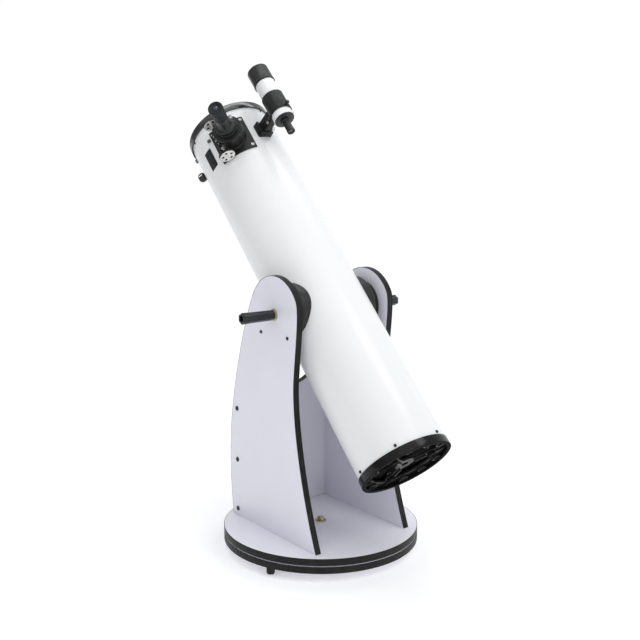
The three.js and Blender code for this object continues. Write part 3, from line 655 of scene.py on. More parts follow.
def board(bottom, hole):
    top = bottom + BOARD_THICKNESS
    return ring(hole, BOARD_RADIUS - TAPE - 0.1, bottom, top, 0.2, 192)


def round_tape(bottom):
    inner = BOARD_RADIUS - TAPE
    top = bottom + BOARD_THICKNESS
    corners = [(inner, bottom), (BOARD_RADIUS, bottom, 0.6), (BOARD_RADIUS, top, 0.6), (inner, top)]
    return turned(rounded(corners, True, 4), 192)


def rubber_foot():
    """A tapered foot with a ribbed side and a screw recess in its sole."""
    profile = [(0, 3), (5, 3), (5, 0.4, 0.4), (9, 0, 0.8), (10.4, 2, 1), (11, 14), (10.5, 15), (11.2, 16)]
    profile += [(11.5, 24, 0.8), (0, 24)]
    return turned(rounded(profile, False, 3), 64)


def build_ground():
    refine("ground_board", board(GROUND_BOTTOM, 5.3), LAMINATE)
    refine("ground_edge_band", round_tape(GROUND_BOTTOM), EDGE_TAPE)
    pad_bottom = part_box("azimuth_pad_1")[0].z / MM
    pad_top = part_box("azimuth_pad_1")[1].z / MM
    for i, angle in enumerate(FOOT_ANGLES):
        where = spin(angle) @ at(FOOT_CIRCLE, 0, 0)
        refine(f"foot_{i + 1}", rubber_foot(), RUBBER, where)
        add(f"foot_screw_{i + 1}", dome_head(4.2, 2), STEEL, "base", where @ at(0, 0, 3) @ spin(180, "X"))
        pad = block((PAD_START, -14, pad_bottom), (PAD_END, 14, pad_top), 0.5)
        refine(f"azimuth_pad_{i + 1}", pad, NYLON, spin(angle))
    head = GROUND_BOTTOM - GAP
    end = TURN_TOP + 14
    shank = [(5, head), (5, TURN_TOP - 4), *thread(5, TURN_TOP - 4, end - 0.8), (0, end)]
    hexagon = [(0, head - 7), (9, head - 7, six_sided), (9.8, head - 6.2, six_sided), (9.8, head, six_sided)]
    refine("pivot_bolt", turned(hexagon + shank, 48), STEEL)
    washer = ring(5.3, 15, 0, 2, 0.4, 64)
    nut = moved(hex_nut(9.8, 8, 5.3), at(0, 0, 2))
    refine("pivot_nut", join(washer, nut), YELLOW, at(0, 0, TURN_TOP + GAP))


# ---- rocker box ----

HANDLE_Z = 330
HANDLE_FEET = (-55, 55)
PANEL_SCREW_HEIGHTS = (83, 222, 364.5)
# Shape coordinates x, z and the depth along -Y from the front panel's outer face.
FRONT_PLANE = place(Vector((0, FRONT_OUTER_Y, 0)), Vector((1, 0, 0)), Vector((0, -1, 0)))


def side_panel_edge():
    """The curved edge, y across and z up, from the front foot over the head to the rear foot."""
    axis_y = ALTITUDE_AXIS.y
    head = arc((axis_y, HEAD_Z), HEAD_RADIUS, 30, 150)
    front = head[0]
    rear = head[-1]
    waist = (199, 300)
    neck = (-90, 500)
    edge = bezier((190, PANEL_BOTTOM), (200, 120), (207, 215), waist)
    edge += bezier(waist, (192, 395), (front.x + 55, front.y - 95), front)
    edge += head[:-1]
    edge += bezier(rear, (rear.x - 14, rear.y - 24), (-100, 600), neck)
    edge += bezier(neck, (-78, 400), (-118, 215), (-180, PANEL_BOTTOM))
    return edge + [Vector((-180, PANEL_BOTTOM))]


def flattened(points):
    points[0].y = PANEL_BOTTOM
    points[-1].y = PANEL_BOTTOM
    return points


def side_panel():
    core = flattened(offset_line(side_panel_edge(), TAPE + 0.1))
    hole = moved(disc(9, -1, PANEL_THICKNESS + 1, 0.1), at(ALTITUDE_AXIS.y, ALTITUDE_AXIS.z, 0))
    return cut(slab(core, 0, PANEL_THICKNESS, 0.15), hole)


def side_tape():
    outer = side_panel_edge()
    inner = flattened(offset_line(outer, TAPE))
    return slab(outer + inner[::-1], 0, PANEL_THICKNESS, 0.45)


def front_top_edge():
    """The front panel's top edge, x across and z up, from +X to -X."""
    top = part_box("front_edge_band")
    shoulder = top[1].z / MM
    radius = 150
    centre = (0, top[0].z / MM + TAPE + radius)
    reach = math.degrees(math.acos((centre[1] - shoulder) / radius))
    dip = arc(centre, radius, reach - 90, -reach - 90)
    return [Vector((FRONT_HALF_WIDTH, shoulder)), *dip, Vector((-FRONT_HALF_WIDTH, shoulder))]


def front_panel():
    top = offset_line(front_top_edge(), TAPE + 0.1)
    corners = [Vector((-FRONT_HALF_WIDTH, PANEL_BOTTOM)), Vector((FRONT_HALF_WIDTH, PANEL_BOTTOM))]
    return slab(top + corners, 0, PANEL_THICKNESS, 0.15)


def front_tape():
    outer = front_top_edge()
    inner = offset_line(outer, TAPE)[::-1]
    return slab(outer + inner, 0, PANEL_THICKNESS, 0.45)


def smooth_path(corners, steps=10):
    """A Catmull-Rom curve through the corners."""
    points = [corners[0], *corners, corners[-1]]
    path = []
    for i in range(1, len(points) - 2):
        a, b, c, d = points[i - 1 : i + 3]
        for step in range(steps):
            t = step / steps
            bend = (b * 2) + (c - a) * t + (a * 2 - b * 5 + c * 4 - d) * t * t
            path.append((bend + (b * 3 - a - c * 3 + d) * t**3) / 2)
    return path + [points[-1]]


def carry_handle():
    face = FRONT_OUTER_Y + GAP
    corners = [(-55, 2), (-55, 22), (-40, 38), (0, 38), (40, 38), (55, 22), (55, 2)]
    path = smooth_path([Vector((x, face + y, HANDLE_Z)) for x, y in corners])
    feet = [moved(disc(14, 0, 4, 1.2), at(x, face, HANDLE_Z) @ Z_TO_Y) for x in HANDLE_FEET]
    return join(sweep(path, 8, 32), *feet)


def build_panel(word, side):
    inner = PANEL_INNER_X if side > 0 else -PANEL_OUTER_X
    where = at(inner, 0, 0) @ PROFILE_PLANE
    refine(f"side_panel_{word}", side_panel(), LAMINATE, where)
    refine(f"edge_band_{word}", side_tape(), EDGE_TAPE, where)
    face = at(side * PANEL_OUTER_X, 0, 0) @ spin(side * 90, "Y")
    front_y = (FRONT_INNER_Y + FRONT_OUTER_Y) / 2
    for i, height in enumerate(PANEL_SCREW_HEIGHTS):
        head = at(0, front_y, height) @ face
        add(f"panel_screw_{word}_{i + 1}", socket_head(6.5, 2.2, 0.42), SCREW_BLACK, "rocker", head)
    for end, angle in (("front", -CRADLE_ANGLE), ("rear", CRADLE_ANGLE - 180)):
        turn = math.radians(angle)
        y = ALTITUDE_AXIS.y + CRADLE_CIRCLE * math.cos(turn)
        z = ALTITUDE_AXIS.z + CRADLE_CIRCLE * math.sin(turn)
        low, high = (v.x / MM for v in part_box(f"cradle_{word}_{end}"))
        roller = ring(3, 12.5, low, high, 1.2, 64)
        refine(f"cradle_{word}_{end}", roller, NYLON, at(0, y, z) @ Z_TO_X)
        add(f"cradle_screw_{word}_{end}", socket_head(4.6, 1.8), SCREW_BLACK, "rocker", at(0, y, z) @ face)
        inner_face = at(side * min(abs(low), abs(high)), y, z) @ spin(-side * 90, "Y")
        add(f"cradle_bolt_{word}_{end}", dome_head(4.4, 1.6), STEEL, "rocker", inner_face)


def build_rocker():
    refine("azimuth_board", board(TURN_BOTTOM, 6), LAMINATE)
    refine("azimuth_edge_band", round_tape(TURN_BOTTOM), EDGE_TAPE)
    build_panel("left", -1)
    build_panel("right", 1)
    refine("front_panel", front_panel(), LAMINATE, FRONT_PLANE)
    refine("front_edge_band", front_tape(), EDGE_TAPE, FRONT_PLANE)
    refine("carry_handle", carry_handle(), MOULDED)
    for i, x in enumerate(HANDLE_FEET):
        for j, up in enumerate((-9.5, 9.5)):
            head = at(x, FRONT_OUTER_Y + GAP + 4, HANDLE_Z + up) @ Z_TO_Y
            add(f"handle_screw_{i + 1}_{j + 1}", dome_head(2.6, 1.2), SCREW_BLACK, "rocker", head)


# ---- optical tube ----


def tube_shell():
    start = TUBE_TAIL + 3
    end = TUBE_TOP - 3
    shell = ring(BORE_RADIUS, TUBE_RADIUS, start, end, 0.1, 192)
    hole = moved(disc(31, 90, 130, 0.1), TUBE.inverted() @ FOCUSER)
    return cut(shell, hole)


def repaint(piece, where, material, chosen):
    """The faces whose centre, in the piece's own frame, is a chosen one get another material."""
    piece.data.materials.append(material)
    back = where.inverted()
    for polygon in piece.data.polygons:
        if chosen(back @ (polygon.center / MM)):
            polygon.material_index = 1


def end_ring(end, inwards, outer, lip, corner):
    """A rolled ring: a band outside with a bead at its edge, and a lip over the tube's end."""
    corners = [
        (lip, 0, 0.8), (outer, 0, corner), (outer, RING_LENGTH, 0.8), (TUBE_RADIUS + GAP, RING_LENGTH),
        (TUBE_RADIUS + GAP, 2.7), (lip, 2.7, 0.8),
    ]
    return turned([(r, end + inwards * h) for r, h in rounded(corners, True, 5)], 192)


def build_tube():
    tube = refine("tube_shell", tube_shell(), ENAMEL, TUBE)
    middle = (TUBE_RADIUS + BORE_RADIUS) / 2
    repaint(tube, TUBE, FLAT_BLACK, lambda spot: spot.xy.length < middle)
    refine("front_ring", end_ring(TUBE_TOP, -1, TUBE_RADIUS + 4.4, BORE_RADIUS - 3, 2.6), GLOSS_BLACK, TUBE)
    ring_shape = end_ring(TUBE_TAIL, 1, TUBE_RADIUS + 3, BORE_RADIUS - 7, 1.2)
    rear_ring = refine("rear_ring", ring_shape, SOFT_GLOSS_BLACK, TUBE)
    inside = BORE_RADIUS
    repaint(rear_ring, TUBE, FLAT_BLACK, lambda spot: spot.z < TUBE_TAIL + 0.5 or spot.xy.length < inside)
    for i in range(6):
        rear = side_place(42 + 60 * i, -449) @ at(0, 0, TUBE_RADIUS)
        add(f"rear_screw_{i + 1}", socket_head(3.6, 3.2), SCREW_BLACK, "optical_tube", rear)
        front = side_place(-21 + 60 * i, 605) @ at(0, 0, TUBE_RADIUS)
        add(f"front_screw_{i + 1}", dome_head(3.2, 2.2), SCREW_BLACK, "optical_tube", front)
    accessory = side_place(72.5, 560) @ at(0, 0, TUBE_RADIUS)
    add("accessory_nut", hex_nut(5.6, 4.6, 2), DULL_STEEL, "optical_tube", accessory)
    add("accessory_stud", disc(2.4, 0, 6.5, 0.4, 32), DULL_STEEL, "optical_tube", accessory)


def curved_plate(half_length, half_width, inner, outer, steps=24):
    """A plate that follows the tube, in a side frame: X along the tube and Y round it."""
    bm = bmesh.new()
    rings = []
    for i in range(steps + 1):
        y = half_width * (2 * i / steps - 1)
        low = math.sqrt(inner**2 - y * y)
        high = math.sqrt(outer**2 - y * y)
        section = [(-half_length, low), (half_length, low), (half_length, high), (-half_length, high)]
        rings.append([bm.verts.new((x, y, z)) for x, z in section])
    skin_all(bm, rings)
    rim = [e for e in bm.edges if e.calc_face_angle(0) > math.radians(40)]
    bmesh.ops.bevel(bm, geom=rim, offset=min(0.8, (outer - inner) / 3), segments=2, affect="EDGES")
    return bm


def build_plate():
    """The data plate beside the focuser, left blank inside a raised border."""
    where = side_place(84.2, 514)
    half_width = math.radians(7.2) * TUBE_RADIUS
    plate = curved_plate(30, half_width, TUBE_RADIUS + 0.05, TUBE_RADIUS + 0.6)
    border = curved_plate(28.4, half_width - 1.6, TUBE_RADIUS + 0.4, TUBE_RADIUS + 0.85)
    window = curved_plate(27.4, half_width - 2.6, TUBE_RADIUS + 0.2, TUBE_RADIUS + 2)
    add("data_plate", plate, MOULDED, "optical_tube", where)
    add("data_plate_border", cut(border, window), EDGE_TAPE, "optical_tube", where)


# ---- mirrors ----

FRAME_BACK = -466
FRAME_FRONT = -460
MIRROR_BACK = -445.7
MIRROR_FRONT = MIRROR_BACK + 25
MIRROR_RADIUS = 101.5
MIRROR_DISH = 2.2
CELL_ANGLES = (90, 210, 330)
KNOB_PLACES = [spin(angle) @ at(70, 0, 0) for angle in CELL_ANGLES]


def cell_frame():
    """The end casting: a rim with round lightening pockets, three ribbed arms and a hub."""
    rim = ring(88, BORE_RADIUS - GAP, FRAME_BACK, FRAME_FRONT, 0.8, 128)
    hub = ring(9, 26, FRAME_BACK, FRAME_FRONT, 0.8, 64)
    arms = []
    for angle, knob in zip(CELL_ANGLES, KNOB_PLACES):
        arms.append(moved(block((20, -9, FRAME_BACK), (92, 9, FRAME_FRONT), 0.8), spin(angle)))
        arms.append(moved(block((24, -1.5, FRAME_BACK - 5), (104, 1.5, FRAME_FRONT), 0.5), spin(angle)))
        arms.append(moved(disc(14, FRAME_BACK, FRAME_FRONT, 0.8, 48), knob))
    collars = []
    for i in range(12):
        if i % 4 != 3:
            collar = ring(9.5, 12.4, FRAME_BACK - 7, FRAME_FRONT, 0.6, 48)
            collars.append(moved(collar, spin(30 * i) @ at(101.5, 0, 0)))
    whole = join(rim, hub, *arms, *collars)
    seats = [moved(disc(12.5, FRAME_BACK - 9, FRAME_BACK, 0.1, 48), knob) for knob in KNOB_PLACES]
    holes = [moved(disc(3.3, FRAME_BACK - 2, FRAME_FRONT + 2, 0.1, 32), knob) for knob in KNOB_PLACES]
    return cut(whole, *seats, *holes)


def mirror_cell():
    back = MIRROR_BACK - GAP - 6
    top = MIRROR_BACK - GAP
    front = MIRROR_FRONT
    plate = ring(16, 105.5, back, top, 0.8, 128)
    windows = [moved(disc(24, back - 1, top + 1, 0.1, 64), spin(a) @ at(55, 0, 0)) for a in (30, 150, 270)]
    clips = []
    for angle in CELL_ANGLES:
        clips.append(moved(block((102.1, -10, top - 1), (105.9, 10, front + 3), 0.8), spin(angle)))
        clips.append(moved(block((97.5, -10, front + 1), (105.9, 10, front + 3), 0.6), spin(angle)))
    return join(cut(plate, *windows), *clips)


def primary_mirror():
    """A dished disc with a small bevel on both rims."""
    edge = MIRROR_RADIUS
    profile = [(0, MIRROR_BACK), (edge - 0.6, MIRROR_BACK), (edge, MIRROR_BACK + 0.6)]
    profile += [(edge, MIRROR_FRONT - 0.5), (edge - 0.5, MIRROR_FRONT - 0.02)]
    for i in range(1, 13):
        share = 1 - i / 12
        profile.append((edge * share, MIRROR_FRONT - MIRROR_DISH * (1 - share**2)))
    return turned(profile, 128)


def collimation_knob():
    """A ribbed knob with a screw, on Z, its face at the back."""
    top = FRAME_BACK - GAP
    ribs = ridged(18, 0.07)
    grip = [(0, top - 7), (7.5, top - 7), (8.2, top - 8), (10, top - 8)]
    grip += [(11, top - 7, ribs), (11, top - 1.5, ribs)]
    screw = [(10, top), (2.7, top), *thread(2.7, top + 0.5, MIRROR_BACK - 6.9, 0.8), (0, MIRROR_BACK - 6.6)]
    return turned(grip + screw, 108)


def spring(radius, wire, low, high, coils):
    steps = coils * 20
    path = []
    for i in range(steps + 1):
        angle = TURN * coils * i / steps
        height = low + (high - low) * i / steps
        path.append(Vector((radius * math.cos(angle), radius * math.sin(angle), height)))
    return sweep(path, wire, 8)


def spider():
    """Four thin vanes from a hub to heels under the tube, each held by a stud with a round nut outside."""
    station = SPIDER_STATION
    hub = ring(4.4, 16, station - 14, station + 14, 1.2, 64)
    parts = []
    for angle in (45, 135, 225, 315):
        turn = spin(angle)
        vane = block((12, -0.6, station - 12), (BORE_RADIUS - 2, 0.6, station + 12), 0.2)
        heel = block((BORE_RADIUS - 4, -4, station - 9), (BORE_RADIUS - 1, 4, station + 9), 0.5)
        outwards = at(0, 0, station) @ Z_TO_X
        stud = moved(disc(2, BORE_RADIUS - 3, TUBE_RADIUS + 7.4, 0.3, 24), outwards)
        nut = moved(disc(5.6, TUBE_RADIUS + 0.1, TUBE_RADIUS + 6.6, 0.8, 36), outwards)
        parts += [moved(part, turn) for part in (vane, heel, stud, nut)]
    return join(hub, *parts)


def diagonal(distance):
    """A big box behind the diagonal plane, moved back by a distance."""
    local = TUBE.inverted() @ FOCUSER
    out = local.to_3x3() @ Vector((0, 0, 1))
    normal = (out + Vector((0, 0, -1))).normalized()
    turn = Vector((0, 0, 1)).rotation_difference(normal).to_matrix().to_4x4()
    box = block((-200, -200, -200), (200, 200, -distance), 0.1)
    return moved(box, at(0, 0, local.translation.z) @ turn)


def build_mirrors():
    station = (TUBE.inverted() @ FOCUSER).translation.z
    refine("cell_frame", cell_frame(), CAST_BLACK, TUBE)
    refine("mirror_cell", mirror_cell(), FLAT_BLACK, TUBE)
    refine("primary_mirror", primary_mirror(), MIRROR, TUBE)
    for i, knob in enumerate(KNOB_PLACES):
        where = TUBE @ knob
        refine(f"collimation_knob_{i + 1}", collimation_knob(), FLAT_BLACK, where)
        coil = spring(6, 0.8, FRAME_FRONT + 0.9, MIRROR_BACK - 7.2, 3)
        add(f"collimation_spring_{i + 1}", coil, STEEL, "optical_tube", where)
    vanes = refine("spider", spider(), ANODISED_TUBE, TUBE)
    repaint(vanes, TUBE, DULL_STEEL, lambda spot: spot.xy.length > TUBE_RADIUS)
    mirror = cut(common(disc(25, station - 60, station + 60, 0.1, 96), diagonal(0)), diagonal(6))
    refine("secondary_mirror", mirror, MIRROR, TUBE)
    top = SPIDER_STATION - 20
    body = common(disc(24, station - 60, top, 1, 96), diagonal(6.3))
    bolt = disc(4.1, top - 5, SPIDER_STATION + 20, 0.4, 32)
    cap = moved(hex_nut(8, 5.7, 3), at(0, 0, SPIDER_STATION + 14.3))
    refine("secondary_holder", join(body, bolt, cap), ANODISED_TUBE, TUBE)
    for i, angle in enumerate((0, 120, 240)):
        screw = TUBE @ spin(angle) @ at(10.5, 0, SPIDER_STATION + 14)
        add(f"diagonal_screw_{i + 1}", socket_head(2.4, 2.4), STEEL, "optical_tube", screw)


# ---- altitude bearings and handles ----


def altitude_bearing():
    """A drum with a flared saddle that hugs the tube, along +X."""
    end = PANEL_INNER_X - 1.4
    profile = [
        (0, 60), (78, 60), (78, 112, 2.5), (73, 119, 5), (DRUM_RADIUS + 1.5, 123.5, 4),
        (DRUM_RADIUS, 128, 2), (DRUM_RADIUS, end, 1.2), (20, end, 0.4), (18, end - 2, 0.6),
        (5.5, end - 2), (5.5, 121), (0, 121),
    ]
    shape = moved(turned(rounded(profile, False, 5), 128), Z_TO_X)
    return cut(shape, disc(TUBE_RADIUS + 0.15, -150, 150, 0.1, 192))


def grip():
    """A fluted handle, slightly thicker at its end, with a six-sided socket there. Along Z."""
    collar = PANEL_OUTER_X + GAP
    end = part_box("tension_handle_right")[1].x / MM
    flutes = ridged(6, 0.16)
    soft = ridged(6, 0.08)
    profile = [
        (0, PANEL_INNER_X - 10), (5, PANEL_INNER_X - 10), (5, collar + 2.6), (10, collar + 2.6),
        (12, collar + 3, soft), (13.2, collar + 5, flutes), (13.8, end - 26, flutes),
        (14.6, end - 8, flutes), (14.6, end - 2, flutes), (13.6, end - 0.6, flutes), (12.2, end, soft),
        (9.4, end, six_sided), (8.8, end - 1, six_sided), (8.8, end - 13, six_sided), (0, end - 14),
    ]
    return turned(profile, 144)


def build_altitude():
    for word, side in (("left", -1), ("right", 1)):
        flip = spin(0 if side > 0 else 180)
        where = at(*ALTITUDE_AXIS) @ flip
        refine(f"altitude_bearing_{word}", altitude_bearing(), MOULDED, TUBE @ flip)
        refine(f"tension_handle_{word}", grip(), MOULDED, where @ Z_TO_X)
        face = PANEL_OUTER_X + 0.15
        washer = ring(5.4, 15.5, face, face + 1.4, 0.3, 64)
        collar = ring(5.4, 12.6, face + 1.4, face + 3, 0.3, 64)
        body = BODY_OF[f"tension_handle_{word}"]
        add(f"handle_washer_{word}", washer, YELLOW, body, where @ Z_TO_X)
        add(f"handle_collar_{word}", collar, STEEL, body, where @ Z_TO_X)


# ---- focuser ----

PLATE_RADIUS = 121.5  # of the curved plate's outer face
BLOCK_TOP = 152  # of the block round the shaft
FLANGE_RADIUS = 40.5
FLANGE_TOP = 168
FLANGE_FACE = 166.6  # round the raised seat of the drawtube
KNOB_INNER_FACE = 52
KNOB_OUTER_FACE = 61
NECK_RADIUS = 18.3
ADAPTER_FACE = 178
EYEPIECE_FACE = 225
EYEPIECE_TOP = 270


def focuser_housing():
    plate = curved_plate(54.5, 51, TUBE_RADIUS + GAP, PLATE_RADIUS)
    profile = [
        (0, 112), (40.5, 112), (40.5, 122, 1.2), (38, 124.5, 1.5), (38.5, 155.5, 1.2),
        (FLANGE_RADIUS, 158, 0.6), (FLANGE_RADIUS, FLANGE_FACE - 0.7), (FLANGE_RADIUS - 0.7, FLANGE_FACE),
        (35.4, FLANGE_FACE, 0.3), (35, FLANGE_TOP, 0.4), (0, FLANGE_TOP),
    ]
    body = turned(rounded(profile, False, 4), 128)
    shaft_block = block((-26, 12, 112), (26, 44, BLOCK_TOP), 2.5)
    cheeks = [moved(disc(9.5, x, x + 7, 1, 48), SHAFT_CENTRE @ Z_TO_X) for x in (-30, 23)]
    whole = join(plate, body, shaft_block, *cheeks)
    under = moved(disc(TUBE_RADIUS + GAP, -80, 80, 0.1, 192), Z_TO_X)
    bore = disc(27.4, 80, FLANGE_TOP + 5, 0.1, 96)
    shaft = moved(disc(3.3, -60, 60, 0.1, 32), SHAFT_CENTRE @ Z_TO_X)
    return cut(whole, under, bore, shaft)


def focus_wheel():
    """A knurled wheel with five round holes in each bright face, its outer face towards +Z."""
    inner = KNOB_INNER_FACE
    outer = KNOB_OUTER_FACE
    knurl = ridged(72, 0.03)
    profile = [
        (0, inner), (20.6, inner), (21.4, inner + 0.5), (22.3, inner + 1.2, knurl),
        (22.3, outer - 1.2, knurl), (21.4, outer - 0.5), (20.6, outer), (0, outer),
    ]
    holes = []
    for i in range(5):
        where = spin(72 * i) @ at(13, 0, 0)
        holes.append(moved(disc(3.5, outer - 3, outer + 2, 0.1, 32), where))
        holes.append(moved(disc(3.5, inner - 2, inner + 3, 0.1, 32), where))
    return cut(turned(profile, 288), *holes)


def on_wheel_face(spot):
    return min(abs(spot.z - KNOB_INNER_FACE), abs(spot.z - KNOB_OUTER_FACE)) < 0.4


def lock_screw():
    knurl = ridged(24, 0.06)
    head = [(0, 44.8), (4.2, 44.8), (4.6, 44.4), (5.4, 44.4), (6.4, 43.7, knurl), (6.4, 41.5, knurl)]
    return turned(head + [(5.6, 40.9), (2, 40.9), (2, 27.7), (0, 27.7)], 96)


def drawtube():
    bottom = FLANGE_TOP + GAP
    profile = [
        (25.7, 102), (27, 102, 0.4), (27, bottom), (30, bottom, 0.5), (30, 172.6, 0.4), (29.2, 173, 0.2),
        (29.2, 173.8, 0.2), (30, 174.2, 0.4), (30, ADAPTER_FACE - GAP, 0.6), (25.7, ADAPTER_FACE - GAP),
    ]
    return hollow(profile)


def adapter():
    profile = [
        (16.2, 150), (25.2, 150, 0.5), (25.2, ADAPTER_FACE), (27.5, ADAPTER_FACE, 0.5), (27.5, 183, 0.8),
        (25, 185.5, 1), (20, 188, 1.5), (NECK_RADIUS, 192, 1), (NECK_RADIUS, 203, 0.3),
        (NECK_RADIUS - 0.5, 203.5, 0.3), (NECK_RADIUS - 0.5, 204.5, 0.3), (NECK_RADIUS, 205, 0.3),
        (NECK_RADIUS, EYEPIECE_FACE - GAP, 0.8), (16.2, EYEPIECE_FACE - GAP),
    ]
    return hollow(profile, 96)


def clamp_screw():
    """A small thumbscrew along Z, its head outwards."""
    knurl = ridged(20, 0.07)
    head = [(0, 28.8), (4, 28.8), (4.9, 28.2, knurl), (4.9, 21.2, knurl), (4.2, 20.4), (2.4, 20.4)]
    shank = [(2.4, 19.6), (1.6, 19.6), *thread(1.6, 16.4, 19.4, 0.7)[::-1], (0, 16.2)]
    return turned(head + shank, 80)


def eyepiece():
    """A barrel with an undercut, a ribbed rubber grip and a dished eye end."""
    ribs = ridged(36, 0.03)
    profile = [(0, 200), (14.6, 200), (15.85, 201), (15.85, 206), (15.3, 206.8), (15.3, 212), (15.85, 212.8)]
    profile += [(15.85, EYEPIECE_FACE), (17.2, EYEPIECE_FACE), (17.6, 225.5), (17.6, 230.5)]
    profile += [(17, 231), (17, 232)]
    for i in range(4):
        low = 232.5 + 7 * i
        profile += [(18.9, low), (19.3, low + 0.5, ribs), (19.3, low + 6, ribs), (18.9, low + 6.5)]
    profile += [(20.2, 261.5), (20.4, 265), (19.8, EYEPIECE_TOP - 2.5), (18.4, EYEPIECE_TOP - 0.5)]
    profile += [(16.6, EYEPIECE_TOP), (14.5, EYEPIECE_TOP - 0.6), (10.5, EYEPIECE_TOP - 4)]
    profile += [(0, EYEPIECE_TOP - 4.2)]
    return turned(profile, 144)


def build_focuser():
    refine("focuser_housing", focuser_housing(), CAST_BLACK, FOCUSER)
    chamfer = [(FLANGE_RADIUS - 0.7, 166.3), (FLANGE_RADIUS - 0.2, 165.8), (FLANGE_RADIUS + 0.05, 166)]
    chamfer += [(FLANGE_RADIUS - 0.5, 166.7)]
    body = "optical_tube"
    add("focuser_flange_edge", turned(chamfer, 128), SCREW_BLACK, body, FOCUSER)
    for i, (x, y) in enumerate(((-45, -43), (45, -43), (45, 43), (-45, 43))):
        tilt = math.degrees(math.asin(y / PLATE_RADIUS))
        corner = FOCUSER @ spin(-tilt, "X") @ at(x, 0, PLATE_RADIUS - 0.1)
        add(f"plate_washer_{i + 1}", ring(1.8, 4.4, 0, 0.7, 0.15, 40), STEEL, body, corner)
        add(f"plate_screw_{i + 1}", dome_head(3.1, 1.9), STEEL, body, corner @ at(0, 0, 0.7))
    for i, (x, y) in enumerate(((-19, 38), (19, 38), (-8, 41), (8, 41))):
        add(f"set_screw_{i + 1}", socket_head(2, 0.9), STEEL, body, FOCUSER @ at(x, y, BLOCK_TOP))
    end = KNOB_OUTER_FACE - 5.5
    refine("focus_shaft", disc(3, -end, end, 0.4, 40), STEEL, FOCUSER @ SHAFT_CENTRE @ Z_TO_X)
    for word, turn in (("front", Z_TO_X), ("rear", spin(-90, "Y"))):
        face = FOCUSER @ SHAFT_CENTRE @ turn
        wheel = refine(f"focus_knob_{word}", focus_wheel(), ANODISED, face)
        repaint(wheel, face, SILVER, on_wheel_face)
        add(f"shaft_bush_{word}", ring(3.9, 6.4, 29.9, 30.9, 0.2, 48), SILVER, body, face)
    lock = FOCUSER @ at(0, 0, 152) @ spin(140) @ Z_TO_X
    refine("focus_lock_screw", lock_screw(), ANODISED, lock)
    add("focus_lock_ring", ring(2.3, 5.2, 40.1, 40.7, 0.2, 40), STEEL, body, lock)
    refine("drawtube", drawtube(), ANODISED, FOCUSER)
    refine("eyepiece_adapter", adapter(), ANODISED, FOCUSER)
    clamp = at(0, 0, 212) @ spin(-100) @ Z_TO_X
    refine("adapter_clamp_screw", clamp_screw(), STEEL, FOCUSER @ clamp)
    refine("eyepiece", eyepiece(), RUBBER, FOCUSER)
    lens = [(r, EYEPIECE_TOP - z) for r, z in ((0, 4.1), (6.5, 4.1), (6.5, 3.6), (4, 3), (0, 2.7))]
    add("eye_lens", turned(lens, 48), GLASS, "eyepiece", FOCUSER)


# ---- finder ----

SHOE_START = 499
SHOE_TOP = 134
SHOE_SHIFT = at(0, 5, 0)  # of the shoe and the stalk, towards the focuser
SHOE_SCREW = at(520, 0, 128.8) @ spin(90, "X")  # Z along it, before the shift
SLEEVE_START = 500
SLEEVE_END = 561
SLEEVE_BORE = 29
SLEEVE_RADIUS = 30.6
COLLAR_RADIUS = 31.6
COLLAR_STATION = 506
STALK_SCREW_X = 510
STALK_SCREW_Z = 159


def dovetail(top_half, bottom_half, bottom, top, start, end):
    outline = [(-bottom_half, bottom), (bottom_half, bottom), (top_half, top), (-top_half, top)]
    return moved(slab(outline, start, end, 0.2), PROFILE_PLANE)


def finder_shoe():
    end = SHOE_START + 40
    foot = block((SHOE_START, -20, 105), (end, 20, SHOE_TOP), 1.5)
    groove = dovetail(13.1, 16.1, 124.2, SHOE_TOP + 0.2, SHOE_START + 4, end + 2)
    hole = moved(disc(2.4, 0, 25, 0.1, 24), SHOE_SCREW)
    under = moved(disc(TUBE_RADIUS + 0.15, 400, 700, 0.1, 192), Z_TO_X)
    return cut(moved(cut(foot, groove, hole), SHOE_SHIFT), under)


def finder_bracket():
    axis = at(0, 0, FINDER_HEIGHT) @ Z_TO_X
    sleeve = moved(ring(SLEEVE_BORE, SLEEVE_RADIUS, SLEEVE_START, SLEEVE_END, 0.5, 128), axis)
    collar = moved(ring(SLEEVE_BORE, COLLAR_RADIUS, SLEEVE_START - 1, SLEEVE_START + 12, 0.8, 128), axis)
    start = SHOE_START + 4.4
    end = SHOE_START + 37
    stalk = moved(block((start, -10.5, 130), (end, 10.5, 180.7), 1.5), SHOE_SHIFT)
    foot = moved(dovetail(12.6, 15.6, 124.6, SHOE_TOP, start, end), SHOE_SHIFT)
    bore = moved(disc(SLEEVE_BORE, 480, 590, 0.1, 128), axis)
    return cut(join(sleeve, collar, stalk, foot), bore)


def collar_place(angle):
    """Z out of the collar at an angle from straight out, from the finder's axis."""
    return FINDER @ at(COLLAR_STATION, 0, FINDER_HEIGHT) @ spin(angle, "X")


def collar_screw():
    knurl = ridged(16, 0.1)
    shank = [(0, 28.8), (1.4, 28.8), (2, 29.6), *thread(2, 29.8, 33.6, 0.8)]
    head = [(3, 33.6), (4.4, 33.8), (5, 34.6, knurl), (5, 41.4, knurl), (4.2, 42.3), (0, 42.6)]
    return turned(shank + head, 96)


def plunger():
    pin = [(0, 28.8), (1.6, 29), (2, 29.6), (2, 34.7)]
    return turned(pin + [(4.5, 34.7), (4.5, 37.8, ridged(14, 0.08)), (4, 38.6), (0, 38.6)], 84)


def finder_tube():
    profile = [
        (25.8, 480.3), (28.8, 480.3, 0.5), (28.8, 498.5, 0.5), (FINDER_RADIUS, 498.5),
        (FINDER_RADIUS, 608.7), (25.8, 608.7),
    ]
    return hollow(profile)


